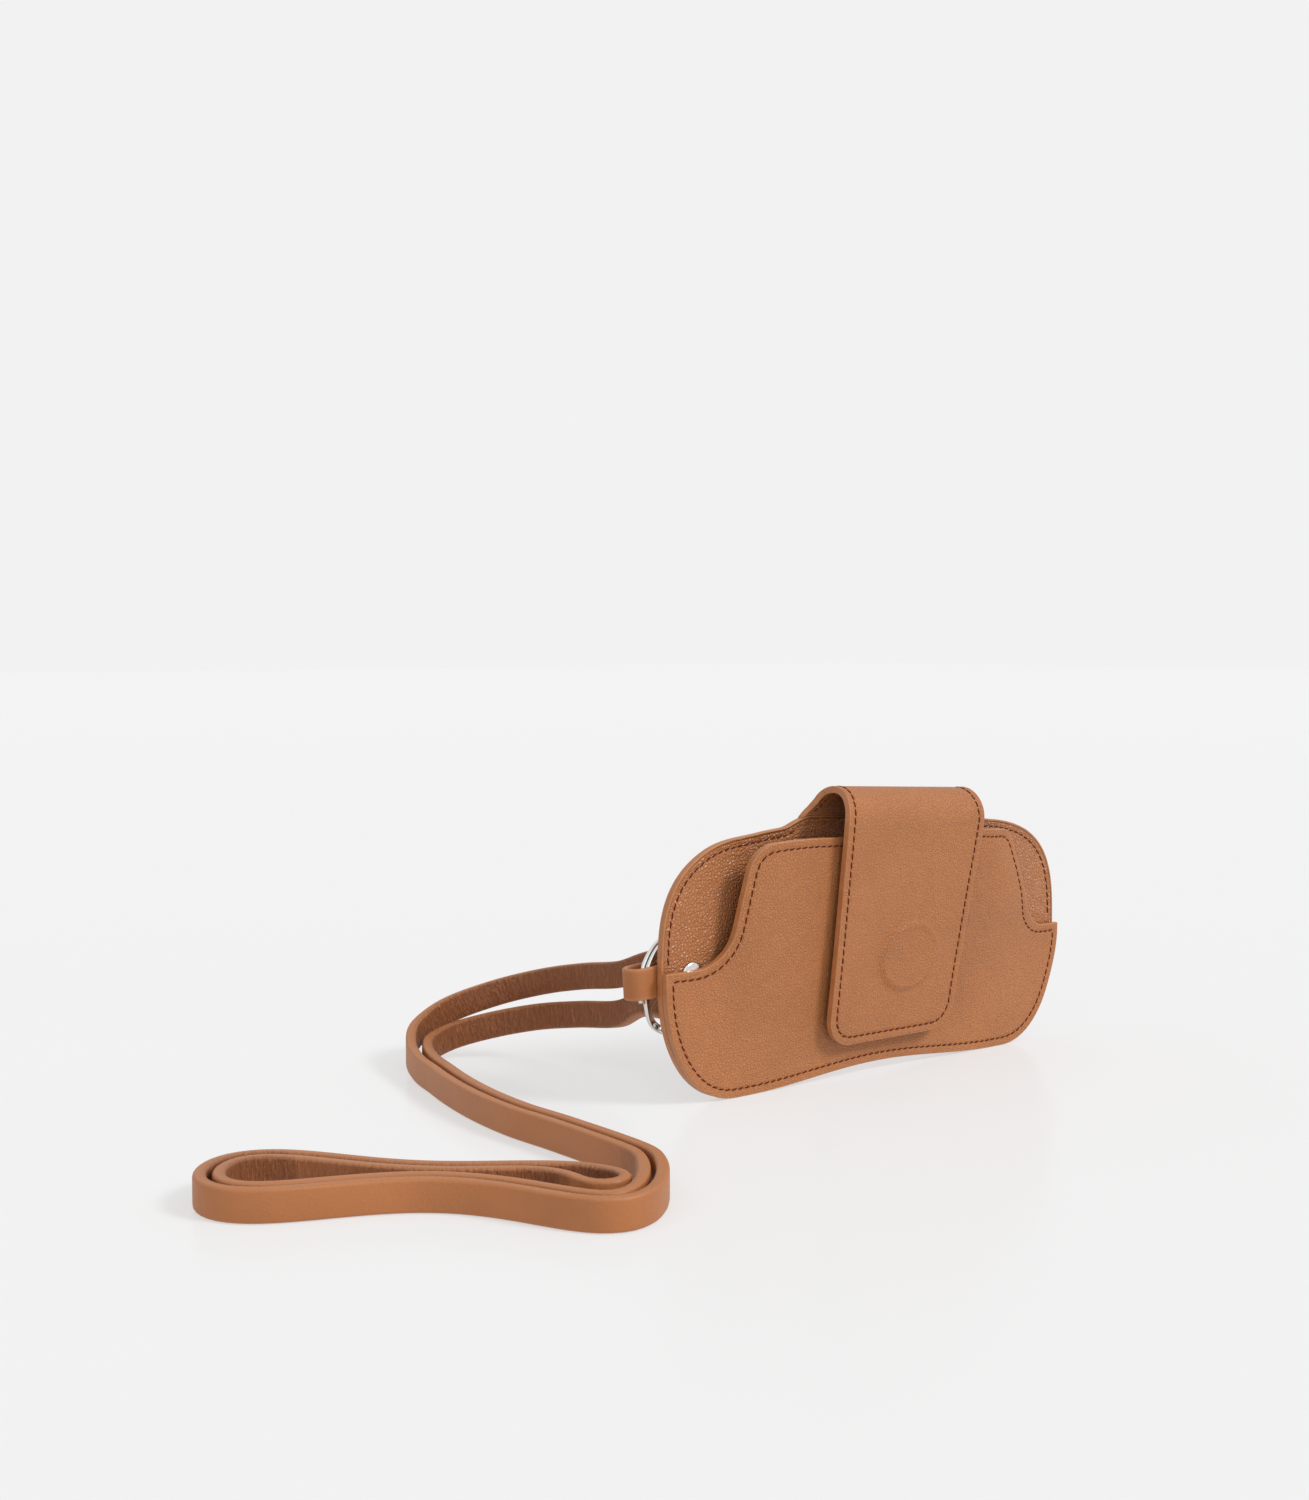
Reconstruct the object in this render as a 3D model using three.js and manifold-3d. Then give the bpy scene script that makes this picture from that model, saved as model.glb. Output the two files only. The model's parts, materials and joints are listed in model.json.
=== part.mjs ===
// A leather glasses case with a magnetic flap, a riveted ring tab and a leather neck strap.
// Millimetres, +Z up. The case stands on its two lower lobes, its front faces -Y and its length is X.
// The origin is on the table, under the middle of the case.

import * as THREE from 'three';
import { mergeVertices } from 'three/addons/utils/BufferGeometryUtils.js';
import Module from 'manifold-3d';

// Case outline
const CASE_LENGTH = 165;
const END_HEIGHT = 34.8;
const BACK_HEIGHT = 77.1;
const BACK_CROWN_HALF = 7.4;
const BACK_SHOULDER_POWER = 3.35;
const LOBE_HALF_SPAN = 56.8;
const LOBE_POWER = 2.11;
const FOOT_FLAT = 4;
const WAIST_RISE = 2.8;

// Front panel's mouth: a level edge, a round shoulder, a steep side and a hollow that runs out to the end
const MOUTH_HEIGHT = 71.5;
const MOUTH_HALF = 49.5;
const SHOULDER_RADIUS = 8;
const HOLLOW_RADIUS = 13;
const SIDE_STEEPNESS = 80;
const NOTCH_HEIGHT = 37.8;
const MOUTH_GAPE = 8.9;
const GAPE_FLAT_HALF = 44;
const GAPE_END_HALF = 84;
const SEAM_BAND = 6;

// Leather plies
const OUTER_THICK = 1.2;
const LINING_THICK = 0.8;
const GLUE_GAP = 0.1;
const LINING_INSET = 0.3;

// Flap
const FOLD_HEIGHT = 76.7;
const NECK_HALF = 29.5;
const FLAP_TIP_HALF = 26;
const FLAP_TIP_HEIGHT = 10.2;
const FLAP_CORNER = 9;
const FLAP_REST_GAP = 1.9;
const HINGE_GAP = 0.3;
const NECK_SIDE_GAP = 0.4;

// Closing magnets
const MAGNET_X = 2;
const MAGNET_HEIGHT = 35;
const MAGNET_RADIUS = 9;
const MAGNET_THICK = 0.6;
const MAGNET_FIT = 0.1;
const BOSS_MARGIN = 1.8;
const BOSS_RISE = 0.8;

// Sewing thread
const THREAD_DIAMETER = 0.5;
const THREAD_LIFT = 0.2;
const STITCH_INSET = 2.5;
const THREAD_END_GAP = 2;

// Rivet and ring tab
const RIVET_FROM_END = 11;
const RIVET_HEIGHT = 36;
const RIVET_POST_RADIUS = 1.3;
const RIVET_HOLE_RADIUS = 1.6;
const RIVET_CAP_RADIUS = 4;
const RIVET_CAP_RISE = 0.9;
const RIVET_SEAT_GAP = 0.1;
const RIVET_CAP_CLEARANCE = 0.2;
const RIVET_DRILL_LENGTH = 40;
const TAB_WIDTH = 8.8;
const TAB_LEATHER = 1.5;
const TAB_REACH = 8;
const TAB_TAPER = 5;
const TAB_TAIL_PAST_RIVET = 5;
const TAB_SEAT_GAP = 0.15;
const TAB_TILT = 4;
const LOOP_CLEARANCE = 0.5;

// Split ring: two turns of flat wire with one crossing step
const RING_RADIUS = 13.6;
const RING_WIRE_RADIAL = 2.2;
const RING_WIRE_AXIAL = 1.3;
const RING_TURN_GAP = 0.45;
const RING_SPLIT_ANGLE = 215;
const RING_STEP_SPAN = 40;
const RING_YAW = 8;
const RING_DROP = 2.5;
const RING_BACKSET = 3.4;

// Neck strap: one flat strap, doubled, with both ends looped on the ring
const STRAP_WIDTH = 8;
const STRAP_THICK = 3.2;
const STRAP_LIFT = 0.05;
const STRAP_JOIN_GAP = 0.3;
const STRAP_SEAT_ANGLE = -18;
const STRAP_FAN_ANGLE = 26;
const STRAP_TAPER = 9;
const STRAP_TAIL = 12;
const STRAP_UNTWIST = 30;
const STRAP_STEP = 7;

// The doubled strap's middle line between the ring and the hank, chosen by hand:
// x, y, height, half the sideways spacing and half the height spacing of the two strands.
const STRAP_ROUTE = [
  [-62, 50.5, 23.8, 0.4, 5.9],
  [-63.5, 67.5, 21.2, 1.0, 5.7],
  [-68, 82.5, 18.4, 1.9, 5.2],
  [-77, 95.5, 14.4, 2.4, 4.5],
  [-88.5, 102, 10.4, 2.5, 3.4],
  [-99.5, 99.5, 7.0, 2.5, 1.9],
  [-107, 90.5, 5.1, 2.4, 0.6],
  [-113, 77.5, 4.2, 2.2, 0],
  [-117.5, 63, 4.05, 2.2, 0],
  [-121.5, 50, 4.05, 2.2, 0],
  [-126, 31, 4.05, 2.2, 0],
  [-128.7, 10.5, 4.05, 2.2, 0],
  [-128.9, -9.5, 4.05, 2.2, 0],
];

// The hank on the table: the doubled strap runs once round a waisted loop and ends in a teardrop bend
const HANK_X = -180;
const HANK_Y = -25.6;
const HANK_TURN = -39.7;
const HANK_HALF_LENGTH = 52.1;
const HANK_SHRINK = 9.5;
const HANK_HALF_WAIST = 7.5;
const HANK_BULGE = 5.2;
const HANK_SKEW = 0.3;
const HANK_START = 25;
const HANK_END = -336;
const HANK_INNER_SHIFT = -5;
const HANK_SPACING = 4.4;
const TEARDROP_WIDTH = 10.4;
const TEARDROP_SPAN = 40;
const HANK_STEPS = 40;
const TEARDROP_STEPS = 8;

// Facets along curves
const WAIST_FACETS = 10;
const LOBE_FACETS = 14;
const TOP_FACETS = 30;
const MOUTH_FACETS = 9;
const CORNER_FACETS = 8;
const PANEL_ROWS = 5;
const ARCH_FACETS = 26;
const LOOP_FACETS = 14;
const DISC_FACETS = 36;
const RIVET_FACETS = 24;
const DOME_FACETS = 5;
const RING_FACETS = 36;
const THREAD_STEP = 4;
const THREAD_FACETS = 3;
const GAP_SAMPLES = 600;

// Colours
const LEATHER = 0xb27850;
const LINING = 0xa86e46;
const THREAD = 0x6e3c22;
const NICKEL = 0xc8c8c6;
const STEEL = 0x8a8c90;

const PLY = OUTER_THICK + GLUE_GAP + LINING_THICK;
const HALF_LENGTH = CASE_LENGTH / 2;
const RIVET_X = RIVET_FROM_END - HALF_LENGTH;
const SEAM_DEPTH = 2 * PLY + GLUE_GAP;
const FULL_TURN = 360;
const rad = THREE.MathUtils.degToRad;
const clamp = THREE.MathUtils.clamp;

const wasm = await Module();
wasm.setup();

const part = new THREE.Group();

function addMesh(parent, name, geometry, colour, roughness, metalness = 0) {
  const material = new THREE.MeshStandardMaterial({ color: colour, roughness, metalness });
  const mesh = new THREE.Mesh(geometry, material);
  mesh.name = name;
  parent.add(mesh);
}

const addLeather = (parent, name, geometry) => addMesh(parent, name, geometry, LEATHER, 0.55);
const addLining = (parent, name, geometry) => addMesh(parent, name, geometry, LINING, 0.45);
const addThread = (parent, name, geometry) => addMesh(parent, name, geometry, THREAD, 0.7);
const addNickel = (parent, name, geometry) => addMesh(parent, name, geometry, NICKEL, 0.2, 1);
const addSteel = (parent, name, geometry) => addMesh(parent, name, geometry, STEEL, 0.4, 1);

// Booleans on closed geometries
function toSolid(geometry) {
  const bare = geometry.clone();
  bare.deleteAttribute('normal');
  bare.deleteAttribute('uv');
  const merged = mergeVertices(bare, 1e-4);
  const vertProperties = new Float32Array(merged.attributes.position.array);
  const triVerts = new Uint32Array(merged.index.array);
  return new wasm.Manifold(new wasm.Mesh({ numProp: 3, vertProperties, triVerts }));
}

function toGeometry(solid) {
  const mesh = solid.getMesh();
  const geometry = new THREE.BufferGeometry();
  geometry.setAttribute('position', new THREE.BufferAttribute(mesh.vertProperties, 3));
  geometry.setIndex(new THREE.BufferAttribute(mesh.triVerts, 1));
  geometry.computeVertexNormals();
  return geometry;
}

const cut = (geometry, tool) => toGeometry(toSolid(geometry).subtract(toSolid(tool)));
const join = (geometry, other) => toGeometry(toSolid(geometry).add(toSolid(other)));

// A closed geometry from points and quads or triangles, turned to face out
function closedGeometry(points, faces) {
  const indices = faces.flatMap((f) => (f.length === 3 ? f : [f[0], f[1], f[2], f[0], f[2], f[3]]));
  let volume = 0;
  const corner = new THREE.Vector3();
  for (let i = 0; i < indices.length; i += 3) {
    const [a, b, c] = [points[indices[i]], points[indices[i + 1]], points[indices[i + 2]]];
    volume += corner.crossVectors(b, c).dot(a);
  }
  if (volume < 0) indices.reverse();
  const geometry = new THREE.BufferGeometry().setFromPoints(points);
  geometry.setIndex(indices);
  geometry.computeVertexNormals();
  return geometry;
}

// A flat plate: the outline lies in X and Z, and the plate reaches from y = 0 to y = -thick
function plate(outline, thick) {
  const options = { depth: thick, bevelEnabled: false };
  const geometry = new THREE.ExtrudeGeometry(new THREE.Shape(outline), options);
  return geometry.rotateX(Math.PI / 2);
}

// A disc along Y with its front at y = -thick
function disc(radius, thick, sides = DISC_FACETS) {
  return new THREE.CylinderGeometry(radius, radius, thick, sides).translate(0, -thick / 2, 0);
}

// A flat strip of material along a path, square in section.
// Each station holds the strip's middle and the direction of its width.
function strip(stations, width, thick) {
  const points = [];
  const last = stations.length - 1;
  stations.forEach(({ at, across }, i) => {
    const before = stations[Math.max(0, i - 1)].at;
    const after = stations[Math.min(last, i + 1)].at;
    const along = after.clone().sub(before).normalize();
    const wide = across.clone().addScaledVector(along, -across.dot(along)).normalize();
    const through = along.clone().cross(wide);
    for (const [w, t] of [[-1, -1], [1, -1], [1, 1], [-1, 1]]) {
      const edge = at.clone().addScaledVector(wide, (w * width) / 2);
      points.push(edge.addScaledVector(through, (t * thick) / 2));
    }
  });
  const faces = [[3, 2, 1, 0]];
  for (let i = 0; i < last; i++) {
    for (let k = 0; k < 4; k++) {
      const a = 4 * i + k;
      const b = 4 * i + ((k + 1) % 4);
      faces.push([a, b, b + 4, a + 4]);
    }
  }
  faces.push([0, 1, 2, 3].map((k) => 4 * last + k));
  return closedGeometry(points, faces);
}

// A round thread along points
function threadAlong(points) {
  const curve = new THREE.CatmullRomCurve3(points, false, 'centripetal');
  const round = new THREE.Shape().absarc(0, 0, THREAD_DIAMETER / 2, 0, 2 * Math.PI);
  const steps = Math.round(curve.getLength() / THREAD_STEP);
  const options = { steps, curveSegments: THREAD_FACETS, extrudePath: curve, bevelEnabled: false };
  return new THREE.ExtrudeGeometry(round, options);
}

// Points moved sideways in X and Z, to the left of their direction of travel
function offsetLine(points, distance) {
  const last = points.length - 1;
  return points.map(([x, z], i) => {
    const [ax, az] = points[Math.max(0, i - 1)];
    const [bx, bz] = points[Math.min(last, i + 1)];
    const length = Math.hypot(bx - ax, bz - az);
    return [x - ((bz - az) / length) * distance, z + ((bx - ax) / length) * distance];
  });
}

// Case outline

// A quarter of a superellipse from (x0, level z1) to (x1, level z0), as points from the x0 end
function quarter(x0, x1, z0, z1, power, count) {
  return Array.from({ length: count + 1 }, (_, i) => {
    const turn = (Math.PI / 2) * (1 - i / count);
    const x = x0 + (x1 - x0) * Math.cos(turn) ** (2 / power);
    const z = z0 + (z1 - z0) * Math.sin(turn) ** (2 / power);
    return [x, z];
  });
}

// Right half of the bottom edge, from the middle to the end
function bottomHalf(inset) {
  const footStart = LOBE_HALF_SPAN - FOOT_FLAT;
  const waist = Array.from({ length: WAIST_FACETS + 1 }, (_, i) => {
    const share = i / WAIST_FACETS;
    return [footStart * share, inset + (WAIST_RISE * (1 + Math.cos(Math.PI * share))) / 2];
  });
  const end = HALF_LENGTH - inset;
  const lobe = quarter(LOBE_HALF_SPAN, end, END_HEIGHT, inset, LOBE_POWER, LOBE_FACETS);
  return [...waist, ...lobe];
}

// Right half of the back panel's top edge, from the neck's side to the end
function backTopHalf(inset) {
  const [end, top] = [HALF_LENGTH - inset, BACK_HEIGHT - inset];
  const full = quarter(BACK_CROWN_HALF, end, END_HEIGHT, top, BACK_SHOULDER_POWER, TOP_FACETS);
  const neckSide = NECK_HALF + NECK_SIDE_GAP;
  const free = full.filter(([x]) => x > neckSide + NECK_SIDE_GAP);
  return [[neckSide, heightAt(full, neckSide)], ...free];
}

function heightAt(points, x) {
  const i = points.findIndex(([px]) => px >= x);
  if (i <= 0) return points[i === 0 ? 0 : points.length - 1][1];
  const [[ax, az], [bx, bz]] = [points[i - 1], points[i]];
  return az + ((bz - az) * (x - ax)) / (bx - ax);
}

// Right half of the front panel's mouth edge, from the middle to the end
function mouthHalf(inset) {
  const steep = rad(SIDE_STEEPNESS);
  const top = MOUTH_HEIGHT - inset;
  const shoulderX = MOUTH_HALF - inset;
  const drop = top - (NOTCH_HEIGHT - inset);
  const straight = (drop - (SHOULDER_RADIUS + HOLLOW_RADIUS) * (1 - Math.cos(steep))) / Math.sin(steep);
  const arc = (radius, t) => [radius * Math.sin(t), radius * (1 - Math.cos(t))];
  const level = Array.from({ length: MOUTH_FACETS }, (_, i) => [(shoulderX * i) / MOUTH_FACETS, top]);
  const shoulder = Array.from({ length: CORNER_FACETS + 1 }, (_, i) => {
    const [dx, dz] = arc(SHOULDER_RADIUS, (steep * i) / CORNER_FACETS);
    return [shoulderX + dx, top - dz];
  });
  const arcReach = (SHOULDER_RADIUS + HOLLOW_RADIUS) * Math.sin(steep);
  const hollowX = shoulderX + arcReach + straight * Math.cos(steep);
  const hollow = Array.from({ length: CORNER_FACETS + 1 }, (_, i) => {
    const [dx, dz] = arc(HOLLOW_RADIUS, steep * (1 - i / CORNER_FACETS));
    return [hollowX - dx, NOTCH_HEIGHT - inset + dz];
  });
  return [...level, ...shoulder, ...hollow, [HALF_LENGTH - inset, NOTCH_HEIGHT - inset]];
}

const mirrored = (half) => [...half.filter(([x]) => x > 0).reverse().map(([x, z]) => [-x, z]), ...half];
const vectors = (points) => points.map(([x, z]) => new THREE.Vector2(x, z));

// Front panel's lean and the fold's radius follow from the gape and the plies

const bottomMiddle = bottomHalf(0);
const gapeSlope = MOUTH_GAPE / (MOUTH_HEIGHT - WAIST_RISE - SEAM_BAND);
const lean = Math.atan(gapeSlope);
const foldReach = gapeSlope * (FOLD_HEIGHT - WAIST_RISE - SEAM_BAND) + SEAM_DEPTH;
const FOLD_RADIUS = (Math.cos(lean) * foldReach + FLAP_REST_GAP + PLY) / (1 + Math.cos(lean));
const BACK_Y = FOLD_RADIUS;
const LINING_Y = BACK_Y - PLY;
const SEAM_Y = LINING_Y - GLUE_GAP;

// How far the front panel stands out from the seam plane
function gape(x, z) {
  const distance = Math.abs(x);
  const fade = clamp((distance - GAPE_FLAT_HALF) / (GAPE_END_HALF - GAPE_FLAT_HALF), 0, 1);
  const share = (1 + Math.cos(Math.PI * fade)) / 2;
  const seam = heightAt(bottomMiddle, distance) + SEAM_BAND;
  return gapeSlope * share * Math.max(0, z - seam);
}

const frontFace = (x, z) => SEAM_Y - PLY - gape(x, z);

// Back panel

function backPlate(thick, inset) {
  const bottom = bottomHalf(inset);
  const neckTop = FOLD_HEIGHT - HINGE_GAP / 2;
  const top = backTopHalf(inset);
  const right = [...bottom, ...top.slice(0, -1).reverse(), [top[0][0], neckTop]];
  const left = right.slice(1).reverse().map(([x, z]) => [-x, z]);
  return plate(vectors([...right, ...left]), thick);
}

const rivetDrill = disc(RIVET_HOLE_RADIUS, RIVET_DRILL_LENGTH, RIVET_FACETS);
const rivetHole = rivetDrill.translate(RIVET_X, BACK_Y + RIVET_DRILL_LENGTH / 2, RIVET_HEIGHT);

addLeather(part, 'back_outer', cut(backPlate(OUTER_THICK, 0).translate(0, BACK_Y, 0), rivetHole));
const backLining = backPlate(LINING_THICK, LINING_INSET).translate(0, LINING_Y + LINING_THICK, 0);
addLining(part, 'back_lining', cut(backLining, rivetHole));

// Front panel: columns of points between the bottom edge and the mouth edge

function frontPly(nearSeam, thick, inset) {
  const rows = PANEL_ROWS;
  const bottom = bottomHalf(inset);
  const mouth = mouthHalf(inset);
  const ends = bottom.filter(([x]) => x > mouth[mouth.length - 2][0] && x < HALF_LENGTH - inset);
  const stations = mirrored([...mouth, ...ends].sort((a, b) => a[0] - b[0]));
  const points = [];
  const faces = [];
  const at = (i, j, side) => 2 * (i * (rows + 1) + j) + side;
  stations.forEach(([x], i) => {
    const low = heightAt(bottom, Math.abs(x));
    const high = heightAt(mouth, Math.abs(x));
    const band = Math.min(SEAM_BAND, (high - low) / 2);
    for (let j = 0; j <= rows; j++) {
      const z = j === 0 ? low : low + band + ((high - low - band) * (j - 1)) / (rows - 1);
      const y = SEAM_Y - nearSeam - gape(x, z);
      points.push(new THREE.Vector3(x, y, z), new THREE.Vector3(x, y - thick, z));
    }
    if (i === 0) return;
    for (let j = 0; j < rows; j++) {
      faces.push([at(i - 1, j, 0), at(i - 1, j + 1, 0), at(i, j + 1, 0), at(i, j, 0)]);
      faces.push([at(i - 1, j, 1), at(i, j, 1), at(i, j + 1, 1), at(i - 1, j + 1, 1)]);
    }
    faces.push([at(i - 1, 0, 0), at(i, 0, 0), at(i, 0, 1), at(i - 1, 0, 1)]);
    faces.push([at(i - 1, rows, 1), at(i, rows, 1), at(i, rows, 0), at(i - 1, rows, 0)]);
  });
  const last = stations.length - 1;
  for (let j = 0; j < rows; j++) {
    faces.push([at(0, j, 1), at(0, j + 1, 1), at(0, j + 1, 0), at(0, j, 0)]);
    faces.push([at(last, j, 0), at(last, j + 1, 0), at(last, j + 1, 1), at(last, j, 1)]);
  }
  return closedGeometry(points, faces);
}

// The front magnet lies in a pocket cut in the back of the front panel's outer leather
const pocketDepth = MAGNET_THICK + MAGNET_FIT;
const pocketRadius = MAGNET_RADIUS + MAGNET_FIT;
const frontMagnetY = SEAM_Y - LINING_THICK - GLUE_GAP - gape(MAGNET_X, MAGNET_HEIGHT);
const leaned = (geometry) => geometry.rotateX(lean).translate(MAGNET_X, frontMagnetY, MAGNET_HEIGHT);
const frontOuter = frontPly(LINING_THICK + GLUE_GAP, OUTER_THICK, 0);
const frontPocket = disc(pocketRadius, 2 * pocketDepth).translate(0, pocketDepth, 0);
addLeather(part, 'front_outer', cut(frontOuter, leaned(frontPocket)));
const frontMagnet = disc(MAGNET_RADIUS, MAGNET_THICK).translate(0, -MAGNET_FIT / 2, 0);
addSteel(part, 'front_magnet', leaned(frontMagnet));

// The lining makes room for the rivet's cap
const capRoom = disc(RIVET_CAP_RADIUS + RIVET_CAP_CLEARANCE, LINING_THICK + 3 * GLUE_GAP);
capRoom.translate(RIVET_X, SEAM_Y + GLUE_GAP, RIVET_HEIGHT);
addLining(part, 'front_lining', cut(frontPly(0, LINING_THICK, LINING_INSET), capRoom));

// Fold: an arch of leather over the mouth, from the back panel to the flap

const foldEnd = Math.PI + lean;

function archStrip(outerRadius, thick) {
  const gapTurn = HINGE_GAP / 2 / FOLD_RADIUS;
  const count = ARCH_FACETS;
  const middle = outerRadius - thick / 2;
  const stations = Array.from({ length: count + 1 }, (_, i) => {
    const turn = gapTurn + ((foldEnd - 2 * gapTurn) * i) / count;
    const at = new THREE.Vector3(0, middle * Math.cos(turn), FOLD_HEIGHT + middle * Math.sin(turn));
    return { at, across: new THREE.Vector3(1, 0, 0) };
  });
  return strip(stations, 2 * NECK_HALF, thick);
}

addLeather(part, 'fold_outer', archStrip(FOLD_RADIUS, OUTER_THICK));
addLining(part, 'fold_lining', archStrip(FOLD_RADIUS - OUTER_THICK - GLUE_GAP, LINING_THICK));

// Flap: its group starts at the fold's front end and leans with the front panel

const flapTopZ = FOLD_HEIGHT + FOLD_RADIUS * Math.sin(foldEnd);
const flapTop = new THREE.Vector3(0, FOLD_RADIUS * Math.cos(foldEnd), flapTopZ);
const flapLength = (flapTop.z - FLAP_TIP_HEIGHT) / Math.cos(lean);
const flapGroup = new THREE.Group();
flapGroup.position.copy(flapTop);
flapGroup.rotation.x = lean;
part.add(flapGroup);

// Right half of the flap's outline, from the hinge to the middle of the tip, drawn in by an inset
function flapHalf(inset) {
  const corner = FLAP_CORNER - inset;
  const tip = -flapLength + inset;
  const side = FLAP_TIP_HALF - inset;
  const round = Array.from({ length: CORNER_FACETS + 1 }, (_, i) => {
    const turn = ((Math.PI / 2) * i) / CORNER_FACETS;
    return [side - corner * (1 - Math.cos(turn)), tip + corner * (1 - Math.sin(turn))];
  });
  return [[NECK_HALF - inset, -HINGE_GAP / 2], ...round, [0, tip]];
}

function flapOutline(inset) {
  const right = flapHalf(inset);
  return [...right, ...right.slice(0, -1).reverse().map(([x, z]) => [-x, z])];
}

const magnetDown = (MAGNET_HEIGHT - flapTop.z) / Math.cos(lean);
const bossRadius = MAGNET_RADIUS + BOSS_MARGIN;
const bossProfile = [
  [0, -OUTER_THICK],
  [bossRadius, -OUTER_THICK],
  [bossRadius, 0],
  [bossRadius - BOSS_RISE, BOSS_RISE],
  [0, BOSS_RISE],
].map(([r, y]) => new THREE.Vector2(r, y));
const boss = new THREE.LatheGeometry(bossProfile, DISC_FACETS).rotateX(Math.PI);
boss.translate(MAGNET_X, 0, magnetDown);
const flapPlate = plate(vectors(flapOutline(0)), OUTER_THICK).translate(0, OUTER_THICK, 0);
const flapPocket = disc(pocketRadius, 2 * pocketDepth);
flapPocket.translate(MAGNET_X, OUTER_THICK + pocketDepth, magnetDown);
addLeather(flapGroup, 'flap_outer', cut(join(flapPlate, boss), flapPocket));
const flapLining = plate(vectors(flapOutline(LINING_INSET)), LINING_THICK).translate(0, PLY, 0);
addLining(flapGroup, 'flap_lining', flapLining);
const flapMagnet = disc(MAGNET_RADIUS, MAGNET_THICK);
flapMagnet.translate(MAGNET_X, OUTER_THICK - MAGNET_FIT / 2, magnetDown);
addSteel(flapGroup, 'flap_magnet', flapMagnet);

// Sewing threads lie on the leather along the stitch lines

const threadRise = THREAD_DIAMETER / 2 + THREAD_LIFT;
const onFront = ([x, z]) => new THREE.Vector3(x, frontFace(x, z) - threadRise, z);
const onLining = ([x, z]) => new THREE.Vector3(x, LINING_Y - threadRise, z);

const bottomLine = offsetLine(mirrored(bottomHalf(0)), STITCH_INSET);
addThread(part, 'seam_thread', threadAlong(bottomLine.map(onFront)));

const mouthLine = offsetLine(mirrored(mouthHalf(0)), -STITCH_INSET);
const mouthInside = mouthLine.filter(([x]) => Math.abs(x) < HALF_LENGTH - STITCH_INSET - THREAD_END_GAP);
addThread(part, 'mouth_thread', threadAlong(mouthInside.map(onFront)));

const backLine = offsetLine(backTopHalf(0), -STITCH_INSET);
const backFree = backLine.filter(([, z]) => z > NOTCH_HEIGHT + THREAD_END_GAP);
addThread(part, 'back_edge_thread_right', threadAlong(backFree.map(onLining)));
addThread(part, 'back_edge_thread_left', threadAlong(backFree.map(([x, z]) => onLining([-x, z]))));

for (const [side, sign] of [['right', 1], ['left', -1]]) {
  const endTurn = THREAD_END_GAP / FOLD_RADIUS;
  const radius = FOLD_RADIUS + threadRise;
  const points = Array.from({ length: ARCH_FACETS / 2 + 1 }, (_, i) => {
    const turn = endTurn + ((foldEnd - 2 * endTurn) * i) / (ARCH_FACETS / 2);
    const x = sign * (NECK_HALF - STITCH_INSET);
    return new THREE.Vector3(x, radius * Math.cos(turn), FOLD_HEIGHT + radius * Math.sin(turn));
  });
  addThread(part, `fold_thread_${side}`, threadAlong(points));
}

const flapLine = flapOutline(STITCH_INSET).map(([x, z], i, all) => {
  const isEnd = i === 0 || i === all.length - 1;
  return new THREE.Vector3(x, -threadRise, isEnd ? z - THREAD_END_GAP : z);
});
addThread(flapGroup, 'flap_thread', threadAlong(flapLine));

// Loops on the ring: each cavity clears the ring's wire, which bends away by its sag at the loop's edges

const ringAxialHalf = RING_WIRE_AXIAL + RING_TURN_GAP / 2;
const wireHalf = RING_WIRE_RADIAL / 2;
const ringSag = (reach) => RING_RADIUS - Math.sqrt(RING_RADIUS ** 2 - reach ** 2);

// Outline of a folded strip in plan: a round bend, a straight pocket along +X, then a taper where
// the two plies close together, and their double tail along the X axis. The bend's centre is at x = 0.
function loopShape(cavity, leather, centreY, straight, taper, tail) {
  const outer = cavity + leather;
  const [bendStart, bendEnd] = [Math.PI / 2, 1.5 * Math.PI];
  const shape = new THREE.Shape();
  shape.moveTo(tail, leather);
  shape.lineTo(straight + taper, leather);
  shape.lineTo(straight, centreY + outer);
  shape.absarc(0, centreY, outer, bendStart, bendEnd, false);
  shape.lineTo(straight, centreY - outer);
  shape.lineTo(straight + taper, -leather);
  shape.lineTo(tail, -leather);
  const hole = new THREE.Path();
  hole.moveTo(straight + taper, 0);
  hole.lineTo(straight, centreY + cavity);
  hole.absarc(0, centreY, cavity, bendStart, bendEnd, false);
  hole.lineTo(straight, centreY - cavity);
  shape.holes.push(hole);
  return shape;
}

function loopSolid(shape, width) {
  const options = { depth: width, bevelEnabled: false, curveSegments: LOOP_FACETS };
  return new THREE.ExtrudeGeometry(shape, options).translate(0, 0, -width / 2);
}

// Ring tab: a strip folded round the ring, with its two ends under the rivet. Its front ply lies flat
// along the back panel, its rear ply stands off round the wire, and it tilts down about the rivet.

const yaw = rad(RING_YAW);
const tabEdge = TAB_WIDTH / 2 + RING_DROP;
const tabSag = ringSag(tabEdge);
const wireAcross = ringAxialHalf * Math.cos(yaw) + (wireHalf + tabSag / 2) * Math.sin(yaw);
const tabCavity = wireAcross + LOOP_CLEARANCE;
const loopX = -HALF_LENGTH - TAB_REACH + tabCavity + TAB_LEATHER - RIVET_X;
const loopY = BACK_Y + TAB_SEAT_GAP + TAB_LEATHER;
const tabStraight = RING_BACKSET + tabSag / 2 + wireHalf + LOOP_CLEARANCE;
const tabTail = TAB_TAIL_PAST_RIVET - loopX;
const tabShape = loopShape(tabCavity, TAB_LEATHER, tabCavity, tabStraight, TAB_TAPER, tabTail);
const tab = loopSolid(tabShape, TAB_WIDTH).translate(loopX, loopY, 0).rotateY(-rad(TAB_TILT));
addLeather(part, 'ring_tab', cut(tab.translate(RIVET_X, 0, RIVET_HEIGHT), rivetHole));

// Rivet: a domed cap inside the case, and a post with a head behind the tab

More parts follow.
